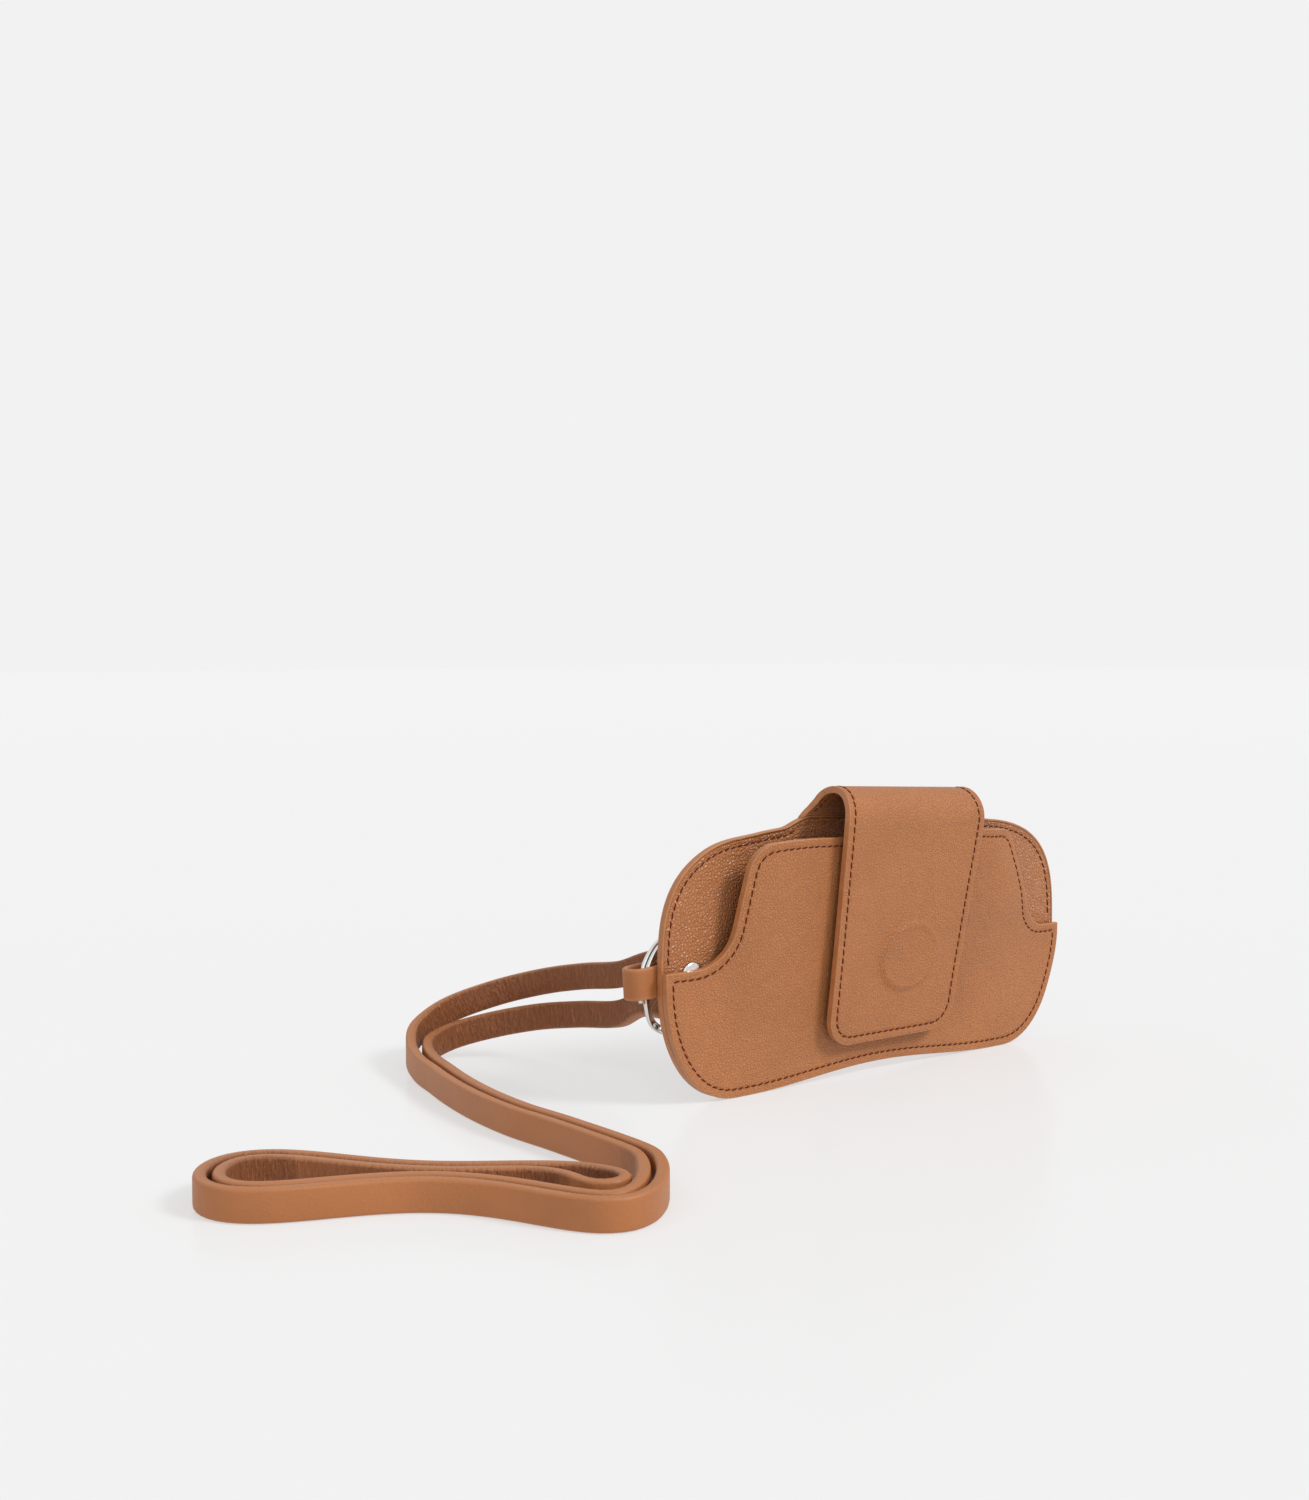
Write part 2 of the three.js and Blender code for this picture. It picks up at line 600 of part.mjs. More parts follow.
function dome(radius, rise) {
  const profile = [new THREE.Vector2(0, 0)];
  for (let i = 0; i <= DOME_FACETS; i++) {
    const turn = ((Math.PI / 2) * i) / DOME_FACETS;
    const r = i === DOME_FACETS ? 0 : radius * Math.cos(turn);
    profile.push(new THREE.Vector2(r, rise * Math.sin(turn)));
  }
  return new THREE.LatheGeometry(profile, RIVET_FACETS);
}

const capSeat = LINING_Y - RIVET_SEAT_GAP;
const headSeat = loopY + TAB_LEATHER + RIVET_SEAT_GAP;
const cap = dome(RIVET_CAP_RADIUS, RIVET_CAP_RISE).rotateX(Math.PI);
addNickel(part, 'rivet_cap', cap.translate(RIVET_X, capSeat, RIVET_HEIGHT));
const postLength = headSeat - capSeat - RIVET_SEAT_GAP;
const post = disc(RIVET_POST_RADIUS, postLength + RIVET_CAP_RISE / 2, RIVET_FACETS);
post.translate(0, RIVET_CAP_RISE / 2, 0);
const rivetPost = join(dome(RIVET_CAP_RADIUS, RIVET_CAP_RISE), post);
addNickel(part, 'rivet_post', rivetPost.translate(RIVET_X, headSeat, RIVET_HEIGHT));

// Split ring, in a frame with its far side along +X and its axis along +Y

const ringTowards = new THREE.Vector3(Math.cos(yaw), Math.sin(yaw), 0);
const ringAxis = new THREE.Vector3(-Math.sin(yaw), Math.cos(yaw), 0);
const ringSeat = new THREE.Vector3(loopX + RING_BACKSET, loopY + tabCavity, -RING_DROP);
const ringCentre = ringSeat.applyAxisAngle(new THREE.Vector3(0, 1, 0), -rad(TAB_TILT));
ringCentre.add(new THREE.Vector3(RIVET_X, 0, RIVET_HEIGHT));
ringCentre.addScaledVector(ringTowards, RING_RADIUS - tabSag / 2);

const ringGroup = new THREE.Group();
ringGroup.position.copy(ringCentre);
ringGroup.rotation.z = yaw;
part.add(ringGroup);

function ringStations() {
  const pitch = RING_WIRE_AXIAL + RING_TURN_GAP;
  const start = RING_STEP_SPAN / 2;
  const end = 2 * FULL_TURN - RING_STEP_SPAN / 2;
  const count = Math.round((RING_FACETS * (end - start)) / FULL_TURN);
  return Array.from({ length: count + 1 }, (_, i) => {
    const wound = start + ((end - start) * i) / count;
    const climb = clamp((wound - FULL_TURN + RING_STEP_SPAN / 2) / RING_STEP_SPAN, 0, 1);
    const turn = rad(RING_SPLIT_ANGLE + wound);
    const axial = pitch * (THREE.MathUtils.smoothstep(climb, 0, 1) - 0.5);
    const at = new THREE.Vector3(RING_RADIUS * Math.cos(turn), axial, RING_RADIUS * Math.sin(turn));
    return { at, across: new THREE.Vector3(Math.cos(turn), 0, Math.sin(turn)) };
  });
}

const ringLine = ringStations();
addNickel(ringGroup, 'split_ring', strip(ringLine, RING_WIRE_RADIAL, RING_WIRE_AXIAL));

// Neck strap

const strapSag = ringSag(STRAP_WIDTH / 2);
const strapReach = RING_RADIUS - strapSag / 2;
const strapCavity = Math.hypot(strapSag / 2 + wireHalf, ringAxialHalf) + LOOP_CLEARANCE;

// The strap's ends: each is looped round the ring's far side and leaves along the ring's axis
function strapSeat(angle) {
  const turn = rad(STRAP_SEAT_ANGLE + angle);
  const up = new THREE.Vector3(0, 0, 1);
  const at = ringCentre.clone();
  at.addScaledVector(ringTowards, strapReach * Math.cos(turn));
  at.addScaledVector(up, strapReach * Math.sin(turn));
  const across = ringTowards.clone().multiplyScalar(-Math.sin(turn)).addScaledVector(up, Math.cos(turn));
  return { at, across };
}

const strapLoopShape = loopShape(strapCavity, STRAP_THICK / 2, 0, 0, STRAP_TAPER, STRAP_TAIL);

function placeStrapLoop(name, seat) {
  const side = seat.across.clone().cross(ringAxis);
  const frame = new THREE.Matrix4().makeBasis(ringAxis, side, seat.across).setPosition(seat.at);
  addLeather(part, name, loopSolid(strapLoopShape, STRAP_WIDTH).applyMatrix4(frame));
}

const upperSeat = strapSeat(STRAP_FAN_ANGLE);
const lowerSeat = strapSeat(-STRAP_FAN_ANGLE);
placeStrapLoop('strap_loop_upper', upperSeat);
placeStrapLoop('strap_loop_lower', lowerSeat);

// A point beside a line: to the right of its direction in plan, and raised
function beside(at, along, sideways, raised) {
  const right = new THREE.Vector3(along.y, -along.x, 0).normalize();
  return at.clone().addScaledVector(right, sideways).add(new THREE.Vector3(0, 0, raised));
}

// The hank's middle line, from its start to the teardrop's root
function hankPoint(share) {
  const turn = rad(HANK_START + (HANK_END - HANK_START) * share);
  const inward = Math.max(0, turn / rad(HANK_END)) ** 2;
  const half = HANK_HALF_LENGTH - HANK_SHRINK * inward;
  const bulge = HANK_BULGE * (1 + HANK_SKEW * Math.cos(turn));
  const waist = HANK_HALF_WAIST * Math.sin(turn) * (1 + bulge * Math.cos(turn) ** 2);
  const x = half * Math.cos(turn);
  const y = waist * (1 - inward ** 2) + HANK_INNER_SHIFT * inward ** 2;
  const lie = rad(HANK_TURN);
  const height = STRAP_WIDTH / 2 + STRAP_LIFT;
  return new THREE.Vector3(
    HANK_X + x * Math.cos(lie) - y * Math.sin(lie),
    HANK_Y + x * Math.sin(lie) + y * Math.cos(lie),
    height,
  );
}

function hankDirection(share) {
  const small = 1e-3;
  return hankPoint(Math.min(1, share + small)).sub(hankPoint(Math.max(0, share - small))).normalize();
}

// One strand of the hank: sign 1 is the strand from the ring's upper loop
function hankStrand(sign) {
  const openFrom = 1 - TEARDROP_SPAN / (HANK_START - HANK_END);
  return Array.from({ length: HANK_STEPS + 1 }, (_, i) => {
    const share = i / HANK_STEPS;
    const opening = THREE.MathUtils.smoothstep(share, openFrom, 1);
    const spacing = THREE.MathUtils.lerp(HANK_SPACING, TEARDROP_WIDTH, opening);
    return beside(hankPoint(share), hankDirection(share), (sign * spacing) / 2, 0);
  });
}

function teardropBend() {
  const along = hankDirection(1);
  const root = hankPoint(1);
  return Array.from({ length: TEARDROP_STEPS - 1 }, (_, i) => {
    const turn = (Math.PI * (i + 1)) / TEARDROP_STEPS;
    const ahead = root.clone().addScaledVector(along, (TEARDROP_WIDTH / 2) * Math.sin(turn));
    return beside(ahead, along, (TEARDROP_WIDTH / 2) * Math.cos(turn), 0);
  });
}

const hankLine = [...hankStrand(1), ...teardropBend(), ...hankStrand(-1).reverse()];
const upright = new THREE.Vector3(0, 0, 1);
const hankStations = hankLine.map((at) => ({ at, across: upright }));
addLeather(part, 'strap_hank', strip(hankStations, STRAP_WIDTH, STRAP_THICK));

// A strand from its loop on the ring to the hank
function strapRun(seat, sign) {
  const middle = STRAP_ROUTE.map(([x, y, z]) => new THREE.Vector3(x, y, z));
  const hankStart = hankPoint(0);
  const route = middle.map((at, i) => {
    const [, , , spread, rise] = STRAP_ROUTE[i];
    const along = (middle[i + 1] ?? hankStart).clone().sub(middle[Math.max(0, i - 1)]);
    return beside(at, along, sign * spread, sign * rise);
  });
  const tailEnd = (extra) => seat.at.clone().addScaledVector(ringAxis, STRAP_TAIL + extra);
  const startDirection = hankDirection(0);
  const meet = beside(hankStart, startDirection, (sign * HANK_SPACING) / 2, 0);
  const end = meet.addScaledVector(startDirection, -STRAP_JOIN_GAP);
  const points = [tailEnd(STRAP_JOIN_GAP), tailEnd(STRAP_WIDTH), ...route, end];
  const curve = new THREE.CatmullRomCurve3(points, false, 'centripetal');
  const length = curve.getLength();
  const count = Math.round(length / STRAP_STEP);
  const stations = curve.getSpacedPoints(count).map((at, i) => {
    const untwist = clamp((length * i) / count / STRAP_UNTWIST, 0, 1);
    return { at, across: seat.across.clone().lerp(upright, untwist) };
  });
  return { geometry: strip(stations, STRAP_WIDTH, STRAP_THICK), length };
}

const upperRun = strapRun(upperSeat, 1);
const lowerRun = strapRun(lowerSeat, -1);
addLeather(part, 'strap_upper_run', upperRun.geometry);
addLeather(part, 'strap_lower_run', lowerRun.geometry);

// Least gap of a wound line to itself, between stretches further apart along it than a bend's width
function leastGap(points, thick, apart) {
  const along = [0];
  points.forEach((p, i) => i && along.push(along[i - 1] + p.distanceTo(points[i - 1])));
  let least = Infinity;
  points.forEach((p, i) => {
    for (let j = i + 1; j < points.length; j++) {
      if (along[j] - along[i] > apart) least = Math.min(least, p.distanceTo(points[j]) - thick);
    }
  });
  return { least, length: along[along.length - 1] };
}

const smoothLine = (points) => new THREE.CatmullRomCurve3(points, false, 'centripetal');
const finely = (points) => smoothLine(points).getSpacedPoints(GAP_SAMPLES);
const hankGap = leastGap(finely(hankLine), STRAP_THICK, 3 * TEARDROP_WIDTH);
const ringGap = leastGap(finely(ringLine.map(({ at }) => at)), RING_WIRE_AXIAL, 2 * RING_RADIUS);
console.log('strap hank: least gap to itself', hankGap.least.toFixed(2), 'mm');
console.log('split ring: least gap to itself', ringGap.least.toFixed(2), 'mm');
const strapLength = hankGap.length + upperRun.length + lowerRun.length + 2 * (STRAP_TAIL + strapCavity);
console.log('strap length', strapLength.toFixed(0), 'mm');

export default part;
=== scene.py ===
"""A leather glasses case with a magnetic flap, a riveted ring tab and a flat leather neck strap."""

import json
import math

import bmesh
import bpy
from bpy.props import FloatProperty, FloatVectorProperty, PointerProperty
from bpy.types import Operator, Panel, PropertyGroup
from mathutils import Matrix, Vector, noise
from mathutils.geometry import interpolate_bezier
from mathutils.kdtree import KDTree
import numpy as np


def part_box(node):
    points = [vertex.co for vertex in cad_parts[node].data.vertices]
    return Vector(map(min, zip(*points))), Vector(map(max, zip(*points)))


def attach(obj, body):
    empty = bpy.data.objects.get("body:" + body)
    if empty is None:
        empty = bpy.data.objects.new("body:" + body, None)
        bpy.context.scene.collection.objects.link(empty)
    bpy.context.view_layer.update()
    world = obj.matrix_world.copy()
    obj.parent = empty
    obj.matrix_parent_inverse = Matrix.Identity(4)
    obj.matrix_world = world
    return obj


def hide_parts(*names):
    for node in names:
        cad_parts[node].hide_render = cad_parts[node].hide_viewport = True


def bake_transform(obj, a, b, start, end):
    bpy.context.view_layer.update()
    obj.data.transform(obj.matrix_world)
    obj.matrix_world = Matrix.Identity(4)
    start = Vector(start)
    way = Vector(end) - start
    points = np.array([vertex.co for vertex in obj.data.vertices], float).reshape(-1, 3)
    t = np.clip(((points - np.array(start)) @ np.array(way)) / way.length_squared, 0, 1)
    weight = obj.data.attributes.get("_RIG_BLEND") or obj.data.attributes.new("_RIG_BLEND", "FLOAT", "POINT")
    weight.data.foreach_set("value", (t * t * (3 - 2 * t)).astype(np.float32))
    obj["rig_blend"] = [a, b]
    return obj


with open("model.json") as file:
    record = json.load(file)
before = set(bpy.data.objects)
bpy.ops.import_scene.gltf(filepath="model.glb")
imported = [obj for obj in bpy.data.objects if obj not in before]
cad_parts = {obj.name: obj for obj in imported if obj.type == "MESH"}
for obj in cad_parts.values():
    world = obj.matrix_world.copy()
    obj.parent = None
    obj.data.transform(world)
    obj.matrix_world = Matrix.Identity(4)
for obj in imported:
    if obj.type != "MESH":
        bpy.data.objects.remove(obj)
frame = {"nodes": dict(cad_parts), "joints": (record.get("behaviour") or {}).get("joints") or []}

bl_info = {
    "name": "Leather Glasses Case",
    "version": (1, 0, 0),
    "blender": (4, 5, 0),
    "location": "View3D > Sidebar > Case",
    "description": "Builds a stitched leather glasses case with its ring and neck strap",
    "category": "Object",
}

# One millimetre in metres, and how far from the origin a point may lie, in millimetres
MM = 0.001
FARTHEST = 400
UP = Vector((0, 0, 1))
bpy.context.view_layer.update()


def node_box(name):
    """Lowest and highest corner of a CAD node, in millimetres."""
    low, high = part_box(name)
    return low / MM, high / MM


def joint(name):
    """Place in millimetres and axis of a joint of the frame."""
    found = next(j for j in frame["joints"] if j["name"] == name)
    return Vector(found["pos_m"]) / MM, Vector(found["axis"])


# Places that come from the frame, in millimetres
HALF_LENGTH = node_box("back_outer")[1].x
BACK_Y = node_box("back_outer")[1].y
LINING_Y = node_box("back_lining")[0].y
SEAM_Y = node_box("front_lining")[1].y
MOUTH_HEIGHT = node_box("front_outer")[1].z
FLAP_TIP_HEIGHT = node_box("flap_outer")[0].z
REAR_HINGE = joint("flap_lift")[0]
FLAP_TOP = joint("flap_turn")[0]
RING_CENTRE, RING_AXIS = joint("ring_turn")
FOLD_RADIUS = REAR_HINGE.y
FOLD_HEIGHT = REAR_HINGE.z
LEAN = math.asin((FOLD_HEIGHT - FLAP_TOP.z) / FOLD_RADIUS)
PLY = BACK_Y - LINING_Y

# Case outline, in millimetres
END_HEIGHT = 34.8
BACK_HEIGHT = 77.1
BACK_CROWN_HALF = 7.4
BACK_SHOULDER_POWER = 3.35
LOBE_HALF_SPAN = 56.8
LOBE_POWER = 2.11
FOOT_FLAT = 4
WAIST_RISE = 2.8
MOUTH_HALF = 49.5
SHOULDER_RADIUS = 8
HOLLOW_RADIUS = 13
SIDE_STEEPNESS = math.radians(80)
NOTCH_HEIGHT = 37.8
MOUTH_GAPE = 8.9
GAPE_FLAT_HALF = 44
GAPE_END_HALF = 84
SEAM_BAND = 6

# Flap and fold: half widths at the base, the crown, the front and the tip, and how far each lies aside
BASE_HALF = 25
CROWN_HALF = 27.8
FRONT_HALF = 29
TIP_HALF = 26
TIP_CORNER = 9
NECK_FLARE = 5.5
NECK_FLARE_LENGTH = 8
NECK_FLARE_POWER = 2.6
FOLD_SPLIT = math.radians(60)
BASE_DRIFT = 1.0
CROWN_DRIFT = 4.3
FRONT_DRIFT = 3.1
TIP_DRIFT = 1.56
FLAP_SWELL = 0.3
FLAP_SWELL_SIZE = 26
FLAP_SWELL_START = 20
FLAP_SEED = 40
BEND_ABOVE = 5
BEND_BELOW = 4

# The magnet's round in the flap
MAGNET_HEIGHT = 35
BOSS_X = 3.2
BOSS_STRETCH = 1.15
BOSS_RADIUS = 10.2
BOSS_RISE = 0.5
BOSS_SLOPE = 0.7
BOSS_RIDGE = 0.45
BOSS_RIDGE_IN = 0.5
BOSS_RIDGE_WIDTH = 0.6

# Lie of the soft leather: amounts, and pairs of places where a change starts and is complete
FOLD_TILT = 0.054
FOLD_TILT_RISE = (45, 82)
FOLD_TILT_LEFT = (-37, -26)
FOLD_TILT_RIGHT = (45, 29)
DIP_RISE = (48, 77)
DIP_REAR = (0, 7)
RIGHT_DIP = 2.8
RIGHT_DIP_INNER = (18, 36)
RIGHT_DIP_OUTER = (80, 42)
LEFT_DIP = 1.5
LEFT_DIP_INNER = (-25, -37)
LEFT_DIP_OUTER = (-66, -46)
END_LEAN = 1.6
END_LEAN_FROM = 62
END_LEAN_ABOVE = 15
FRONT_SWELL = 0.35
FRONT_SWELL_SIZE = 32

# Humps in the mouth's edge, each as height, middle and spread, and the right corner of the mouth
LEFT_LIFT = (1.3, -38, 20)
RIGHT_LIFT = (-1.0, 50, 14)
LIFT_ABOVE = 42
SIDE_SLUMP = (2.8, 47, 8)
TOP_SLUMP = 3.5
TOP_SLUMP_RISE = (55, 70)
SLUMP_INNER = (30, 52)
SLUMP_OUTER = (82, 70)
NOTCH_SAG_SPAN = (52, 74)
NOTCH_SAG_RISE = (20, 40)
CORNER_X = 67
CORNER_HEIGHT = 44
CORNER_SPREAD = 6
CORNER_LIFT = 2.6
CORNER_ASIDE = 1.4

# Spacing and play of the leather's meshes, in millimetres
OUTLINE_STEP = 1.2
FLAP_STEP = 1.0
FOLD_STEP = 0.8
CORNER_CLEAR = 3.3
CUT_SNAP = 0.02
HOLLOW_STEP = 0.05
GROOVE_REACH = 0.9
GROOVE_WIDTH = 0.55
LINING_GAP = 0.06
LINING_PLAY = 0.02
LINING_ROUND = 0.16
STITCH_LINE_STEP = 0.25
THREAD_SINK = 0.45

# Ring tab and rivet
RIVET_X = -71.5
RIVET_HEIGHT = 36
RIVET_RADIUS = 4
RIVET_RISE = 1.1
RIVET_POST_RADIUS = 1.3
RIVET_POST_DEPTH = 2.0
RIVET_RIM = 0.25
RIVET_RIM_IN = 0.3
RIVET_GAP = 0.1
TAB_WIDTH = 8.8
TAB_LEATHER = 1.5
TAB_SEAT_GAP = 0.15
TAB_TILT = math.radians(4)
TAB_LOOP_X = -15.2
TAB_CAVITY = 2.3
TAB_STRAIGHT = 5.9
TAB_TAPER = 5
TAB_TAIL = 20.2
TAB_ROUND = 0.5
PLY_GAP = 0.06
LOOP_STEP = 0.8

# Split ring
RING_RADIUS = 13.6
RING_WIRE_RADIAL = 2.2
RING_WIRE_AXIAL = 1.3
RING_PITCH = 1.75
RING_SPLIT = math.radians(215)
RING_STEP = math.radians(40)
RING_ROUND = 0.4
RING_STATIONS = 150

# Neck strap: x, y, height, half the sideways spacing and half the height spacing of its two strands
STRAP_ROUTE = (
    (-62, 50.5, 23.8, 0.4, 5.9),
    (-63.5, 67.5, 21.2, 1.0, 5.7),
    (-68, 82.5, 18.4, 1.9, 5.2),
    (-77, 95.5, 14.4, 2.4, 4.5),
    (-88.5, 102, 10.4, 2.5, 3.4),
    (-99.5, 99.5, 7.0, 2.5, 1.9),
    (-107, 90.5, 5.1, 2.4, 0.6),
    (-113, 77.5, 4.2, 2.2, 0),
    (-117.5, 63, 4.05, 2.2, 0),
    (-121.5, 50, 4.05, 2.2, 0),
    (-126, 31, 4.05, 2.2, 0),
    (-128.7, 10.5, 4.05, 2.2, 0),
    (-128.9, -9.5, 4.05, 2.2, 0),
)
STRAP_SEAT = math.radians(-18)
STRAP_FAN = math.radians(26)
STRAP_REACH = 13.3
STRAP_CAVITY = 2.57
STRAP_TAPER = 9
STRAP_TAIL = 12
STRAP_UNTWIST = 30
STRAP_STEP = 2.5
RUN_INSIDE = 150
RUN_FADE = 40
HANK_FROM = (300, 330)
BEND_TIGHT = (0.15, 0.45)
BEND_REACH = 3
STRAP_LIFT = 0.05
HANK_CENTRE = Vector((-180, -25.6, 0))
HANK_TURN = math.radians(-39.7)
HANK_HALF_LENGTH = 52.1
HANK_SHRINK = 7.8
HANK_HALF_WAIST = 7.5
HANK_BULGE = 5.2
HANK_SKEW = 0.3
HANK_START = math.radians(25)
HANK_END = math.radians(-336)
HANK_INNER_SHIFT = -6.6
HANK_SPACING = 4.4
HANK_STEPS = 120
TEARDROP_WIDTH = 10.4
TEARDROP_SPAN = math.radians(40)
TEARDROP_STEPS = 12


def length_setting(name, description, millimetres):
    """A length setting, given in millimetres."""
    return FloatProperty(
        name=name, description=description, default=millimetres * MM, unit="LENGTH", precision=5,
    )


def angle_setting(name, description, degrees):
    """An angle setting, given in degrees."""
    return FloatProperty(name=name, description=description, default=math.radians(degrees), subtype="ANGLE")


def colour_setting(name, description, *default):
    """A colour setting, in linear light."""
    return FloatVectorProperty(name=name, description=description, default=default, subtype="COLOR")


class LeatherSizes(PropertyGroup):
    """Thickness and edges of the case's leather."""

    outer: length_setting("Outer leather", "Thickness of the outer leather", 1.2)
    edge_round: length_setting("Edge rounding", "Radius of the painted edges", 0.3)
    edge_wall: length_setting("Edge wall", "Width of the turned edge round the lining", 0.8)
    facet: length_setting("Facet", "Size of the panels' facets", 3)
    fine_facet: length_setting("Fine facet", "Size of the flap's facets", 0.9)


class StitchSizes(PropertyGroup):
    """The sewing."""

    inset: length_setting("Inset", "Distance of the stitch line from the edge", 2.4)
    pitch: length_setting("Pitch", "Length of one stitch and its gap", 2.5)
    gap: length_setting("Gap", "Bare leather between two stitches", 0.45)
    thread: length_setting("Thread", "Diameter of the thread", 0.46)
    groove: length_setting("Groove", "Depth that the thread draws the leather in", 0.22)
    slant: angle_setting("Slant", "Turn of each stitch from its line", 8)


class StrapSizes(PropertyGroup):
    """The neck strap."""

    width: length_setting("Width", "Width of the strap", 8)
    thick: length_setting("Thickness", "Thickness of the strap", 3.2)
    corner: length_setting("Corner", "Rounding of the strap's edges", 0.9)


class Finishes(PropertyGroup):
    """Colours of the materials."""

    leather: colour_setting("Leather", "Grained outer leather", 0.440, 0.158, 0.047)
    edge: colour_setting("Edge", "Painted leather edges", 0.440, 0.172, 0.061)
    lining: colour_setting("Lining", "Pebbled lining leather", 0.474, 0.174, 0.058)
    strap: colour_setting("Strap", "Strap leather", 0.395, 0.138, 0.039)
    # The strap's inner bends: partly its own darker flesh side, partly painted shade of its bends and
    # wrinkles.
    strap_crease_and_shade: colour_setting("Strap crease", "Wrinkles of the strap's inner bends", 0.262, 0.079, 0.020)
    thread: colour_setting("Thread", "Sewing thread", 0.115, 0.014, 0.004)
    nickel: colour_setting("Nickel", "Plated ring and rivet", 0.72, 0.71, 0.69)
    steel: colour_setting("Steel", "Magnet discs", 0.25, 0.26, 0.28)


class StageSettings(PropertyGroup):
    """Camera, floor and light."""

    lens: FloatProperty(
        name="Lens", description="Focal length in millimetres on a 36 mm sensor", default=48,
    )
    camera_place: FloatVectorProperty(
        name="Camera place", description="Where the camera stands",
        subtype="TRANSLATION", unit="LENGTH", default=(-0.4310, -0.40986, 0.131),
    )
    camera_pitch: angle_setting("Camera pitch", "How far the camera looks down", 3.348)
    camera_yaw: angle_setting("Camera yaw", "How far the camera is turned to the right", 39.7)
    backdrop: colour_setting("Backdrop", "Colour of the floor and the background", 0.888, 0.888, 0.888)
    key: FloatProperty(name="Key light", description="Strength of the soft key light", default=1.8)
    fill: FloatProperty(name="Fill light", description="Strength of the soft fill light", default=0.6)
    sky: FloatProperty(name="Sky light", description="Strength of the even light around", default=0.52)


# Outlines as lists of (x, z) in millimetres


def quarter(x0, x1, z0, z1, power, count):
    """A quarter of a superellipse, from (x0, z1) to (x1, z0)."""
    points = []
    for i in range(count + 1):
        turn = math.pi / 2 * (1 - i / count)
        x = x0 + (x1 - x0) * max(0.0, math.cos(turn)) ** (2 / power)
        z = z0 + (z1 - z0) * math.sin(turn) ** (2 / power)
        points.append((x, z))
    return points


def mirrored(half):
    """A line from the left end to the right end, from its right half."""
    return [(-x, z) for x, z in reversed(half) if x > 0] + list(half)


def evenly(points, step):
    """The line as points that lie about a step apart."""
    line = [Vector(p) for p in points]
    lengths = [(b - a).length for a, b in zip(line, line[1:])]
    total = sum(lengths)
    count = max(1, round(total / step))
    spaced = []
    segment, start = 0, 0.0
    for i in range(count + 1):
        target = total * i / count
        while segment < len(lengths) - 1 and start + lengths[segment] < target:
            start += lengths[segment]
            segment += 1
        share = min(1.0, (target - start) / max(lengths[segment], 1e-9))
        spaced.append(line[segment].lerp(line[segment + 1], share))
    return spaced


def beside_line(points, distance, closed=False):
    """The line moved to the left of its direction."""
    line = [Vector(p) for p in points]
    last = len(line) - 1
    moved = []
    for i, p in enumerate(line):
        before = line[i - 1] if i > 0 or closed else p
        after = line[(i + 1) % len(line)] if i < last or closed else p
        ins = [(b - a).normalized() for a, b in ((before, p), (p, after)) if (b - a).length > 1e-9]
        sides = [Vector((-d.y, d.x)) for d in ins]
        pull = sides[0] + sides[-1]
        moved.append(p + pull * (distance / (1 + sides[0].dot(sides[-1]))))
    return moved


def bottom_half():
    """Right half of the bottom edge, from the middle to the end."""
    foot = LOBE_HALF_SPAN - FOOT_FLAT
    waist = [(foot * i / 20, WAIST_RISE * (1 + math.cos(math.pi * i / 20)) / 2) for i in range(21)]
    return waist + quarter(LOBE_HALF_SPAN, HALF_LENGTH, END_HEIGHT, 0, LOBE_POWER, 40)


def back_top_half():
    """Right half of the back panel's top edge, from the middle to the end."""
    full = quarter(BACK_CROWN_HALF, HALF_LENGTH, END_HEIGHT, BACK_HEIGHT, BACK_SHOULDER_POWER, 60)
    return [(0, BACK_HEIGHT)] + full


def mouth_half():
    """Right half of the front panel's mouth edge, from the middle to the end."""
    radii = SHOULDER_RADIUS + HOLLOW_RADIUS
    drop = MOUTH_HEIGHT - NOTCH_HEIGHT
    straight = (drop - radii * (1 - math.cos(SIDE_STEEPNESS))) / math.sin(SIDE_STEEPNESS)
    hollow_x = MOUTH_HALF + radii * math.sin(SIDE_STEEPNESS) + straight * math.cos(SIDE_STEEPNESS)
    line = [(0, MOUTH_HEIGHT)]
    for i in range(13):
        turn = SIDE_STEEPNESS * i / 12
        x = MOUTH_HALF + SHOULDER_RADIUS * math.sin(turn)
        line.append((x, MOUTH_HEIGHT - SHOULDER_RADIUS * (1 - math.cos(turn))))
    for i in range(17):
        turn = SIDE_STEEPNESS * (1 - i / 16)
        x = hollow_x - HOLLOW_RADIUS * math.sin(turn)
        line.append((x, NOTCH_HEIGHT + HOLLOW_RADIUS * (1 - math.cos(turn))))
    return line + [(HALF_LENGTH, NOTCH_HEIGHT)]


BOTTOM = bottom_half()


def height_at(points, x):
    """Height of a half outline at a distance from the middle."""
    for (ax, az), (bx, bz) in zip(points, points[1:]):
        if bx >= x > ax or x <= ax:
            return az + (bz - az) * max(0.0, x - ax) / max(bx - ax, 1e-9)
    return points[-1][1]


def smooth_share(value, start, end):
    """How far a value has come from a start to an end, eased at both."""
    t = min(1.0, max(0.0, (value - start) / (end - start)))
    return t * t * (3 - 2 * t)


def hump(value, height, middle, spread):
    """A round hump of a height over a line."""
    return height * math.exp(-(((value - middle) / spread) ** 2))


def gape(x, z):
    """How far the front panel stands out from the seam plane."""
    away = abs(x)
    fade = min(1.0, max(0.0, (away - GAPE_FLAT_HALF) / (GAPE_END_HALF - GAPE_FLAT_HALF)))
    share = (1 + math.cos(math.pi * fade)) / 2
    slope = MOUTH_GAPE / (MOUTH_HEIGHT - WAIST_RISE - SEAM_BAND)
    return slope * share * max(0.0, z - height_at(BOTTOM, away) - SEAM_BAND)


# Surfaces: each turns a flat panel's (x, depth below the show face, height or length) into a place


